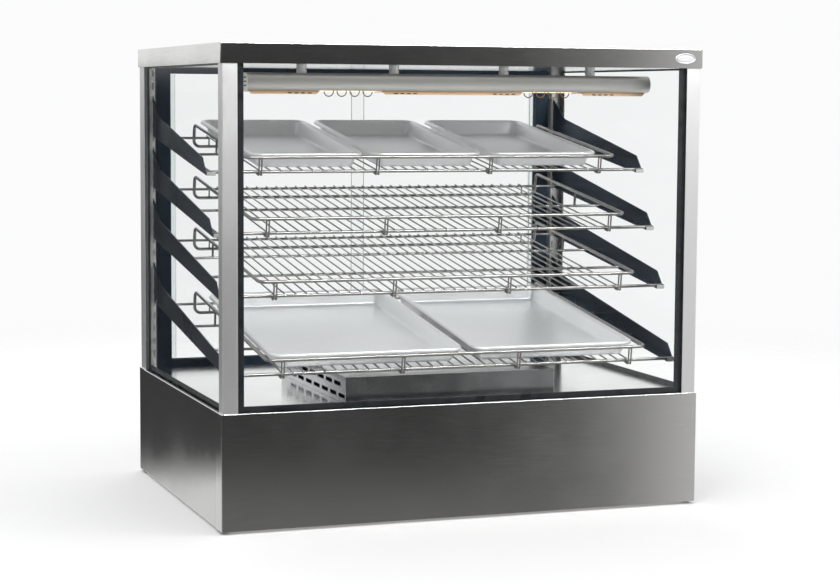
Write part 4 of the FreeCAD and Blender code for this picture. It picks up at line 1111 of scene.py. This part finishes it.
def make_world():
    """White all round for sight and soft light; reflections see a studio with a dark side."""
    world = bpy.data.worlds.new("studio")
    bpy.context.scene.world = world
    world.use_nodes = True
    tree = world.node_tree
    tree.nodes.clear()

    def node(kind, operation=None, values=()):
        made = tree.nodes.new("ShaderNode" + kind)
        if operation:
            made.operation = operation
        for index, value in values:
            made.inputs[index].default_value = value
        return made

    def join(source, target, entry=0, leaving=0):
        tree.links.new(source.outputs[leaving], target.inputs[entry])

    def mixed_tone(blend):
        made = node("Mix")
        made.data_type = "RGBA"
        made.blend_type = blend
        return made

    def fill_ramp(ramp, stops):
        """Grey stops of a colour ramp, from its first place, 0, to its last, 1."""
        elements = ramp.color_ramp.elements
        for position, tone in stops:
            if position in (0, 1):
                element = elements[0 if position == 0 else len(elements) - 1]
            else:
                element = elements.new(position)
            element.color = (tone, tone, tone, 1)

    way = node("TexCoord")
    split = node("SeparateXYZ")
    join(way, split, leaving="Generated")
    ahead = node("Math", "MULTIPLY", [(1, -1.0)])
    join(split, ahead, leaving="Y")
    turn = node("Math", "ARCTAN2")
    join(split, turn, leaving="X")
    join(ahead, turn, 1)
    share = node("Math", "MULTIPLY_ADD", [(1, 0.5 / math.pi), (2, 0.5)])
    join(turn, share)
    round_ramp = node("ValToRGB")
    join(share, round_ramp)
    # Tones all round, in degrees from straight ahead of the case, with the right side positive.
    tones = [(-180, 1.05), (-100, 0.95), (-60, 0.8), (-15, 0.6), (2, 0.08), (10, 0.045),
             (20, 0.045), (23, 0.08), (25, 0.16), (26.5, 0.36), (28, 0.75), (31, 1.0), (60, 0.95),
             (100, 0.6), (128, 0.5), (146, 1.0), (180, 1.05)]
    fill_ramp(round_ramp, [(0.5 + degrees / 360, tone) for degrees, tone in tones])
    height = node("ValToRGB")
    raised = node("Math", "MULTIPLY_ADD", [(1, 0.5), (2, 0.5)])
    join(split, raised, leaving="Z")
    join(raised, height)
    # Tones from straight down, -1, to straight up, 1. Just below the horizon it is dark, as past
    # the edge of a table.
    band = [(-1, 0.75), (-0.184, 0.75), (-0.177, 0.05), (0.006, 0.05), (0.014, 0.95), (1, 0.95)]
    fill_ramp(height, [(0.5 + level / 2, tone) for level, tone in band])
    front_height = node("ValToRGB")
    join(raised, front_height)
    # Nowhere is the near floor darker than this.
    slope = [(-1, 0.2), (-0.21, 0.2), (-0.195, 0.16), (-0.178, 0.07), (-0.165, 0.02), (1, 0.0)]
    fill_ramp(front_height, [(0.5 + level / 2, tone) for level, tone in slope])
    # The band holds over the left half of the circle, and not over the right half.
    card = node("ValToRGB")
    join(share, card)
    zones = [(-180, 1), (2, 1), (9, 0), (180, 0)]
    fill_ramp(card, [(0.5 + degrees / 360, tone) for degrees, tone in zones])
    banded = mixed_tone("MIX")
    join(card, banded)
    banded.inputs["A"].default_value = (1, 1, 1, 1)
    join(height, banded, "B")
    shaped = mixed_tone("MULTIPLY")
    shaped.inputs["Factor"].default_value = 1.0
    join(round_ramp, shaped, "A")
    join(banded, shaped, "B", "Result")
    scene_tone = mixed_tone("LIGHTEN")
    scene_tone.inputs["Factor"].default_value = 1.0
    join(shaped, scene_tone, "A", "Result")
    join(front_height, scene_tone, "B")
    rays = node("LightPath")
    plain = node("Math", "MAXIMUM")
    join(rays, plain, 0, "Is Camera Ray")
    join(rays, plain, 1, "Is Diffuse Ray")
    final = mixed_tone("MIX")
    final.inputs["B"].default_value = (0.97, 0.97, 0.975, 1)
    join(plain, final)
    join(scene_tone, final, "A", "Result")
    background = node("Background")
    join(final, background, "Color", "Result")
    out = node("OutputWorld")
    join(background, out)


def add_light(name, place, size, power, aim=(0, 0, 0.4)):
    data = bpy.data.lights.new(name, "AREA")
    data.shape = "RECTANGLE"
    data.size, data.size_y = size
    data.energy = power
    light = bpy.data.objects.new(name, data)
    light.location = place
    toward = Vector(aim) - Vector(place)
    light.rotation_euler = toward.to_track_quat("-Z", "Y").to_euler()
    light.visible_camera = False
    light.visible_glossy = False
    bpy.context.scene.collection.objects.link(light)
    return light


def add_camera():
    """The viewpoint, in front and to the left, looking slightly down."""
    data = bpy.data.cameras.new("camera")
    data.lens = 88.07
    data.sensor_width = 36
    yaw, pitch, roll = (math.radians(angle) for angle in (19.903, 5.404, 0.358))
    forward = Vector((math.sin(yaw) * math.cos(pitch), math.cos(yaw) * math.cos(pitch),
                      -math.sin(pitch)))
    level = Vector((math.cos(yaw), -math.sin(yaw), 0))
    upward = level.cross(forward)
    right = level * math.cos(roll) + upward * math.sin(roll)
    up = upward * math.cos(roll) - level * math.sin(roll)
    camera = bpy.data.objects.new("camera", data)
    turn = Matrix((right, up, -forward)).transposed().to_4x4()
    camera.matrix_world = Matrix.Translation((-1.3079, -3.6798, 0.7453)) @ turn
    bpy.context.scene.collection.objects.link(camera)
    bpy.context.scene.camera = camera


make_floor()
make_world()
add_light("key", (-1.8, -2.2, 2.8), (1.6, 1.6), 26)
add_light("fill", (2.4, -1.4, 2.2), (1.4, 1.4), 14)
add_light("rear", (0.3, 2.6, 2.4), (2.0, 1.2), 18)
strip = add_light("strip", (0.35, -1.2, 1.3), (1.6, 0.12), 28, aim=(0.35, -0.325, 0.6))
strip.visible_glossy = True
strip.visible_diffuse = False
add_camera()
bpy.context.scene.view_settings.view_transform = "Standard"
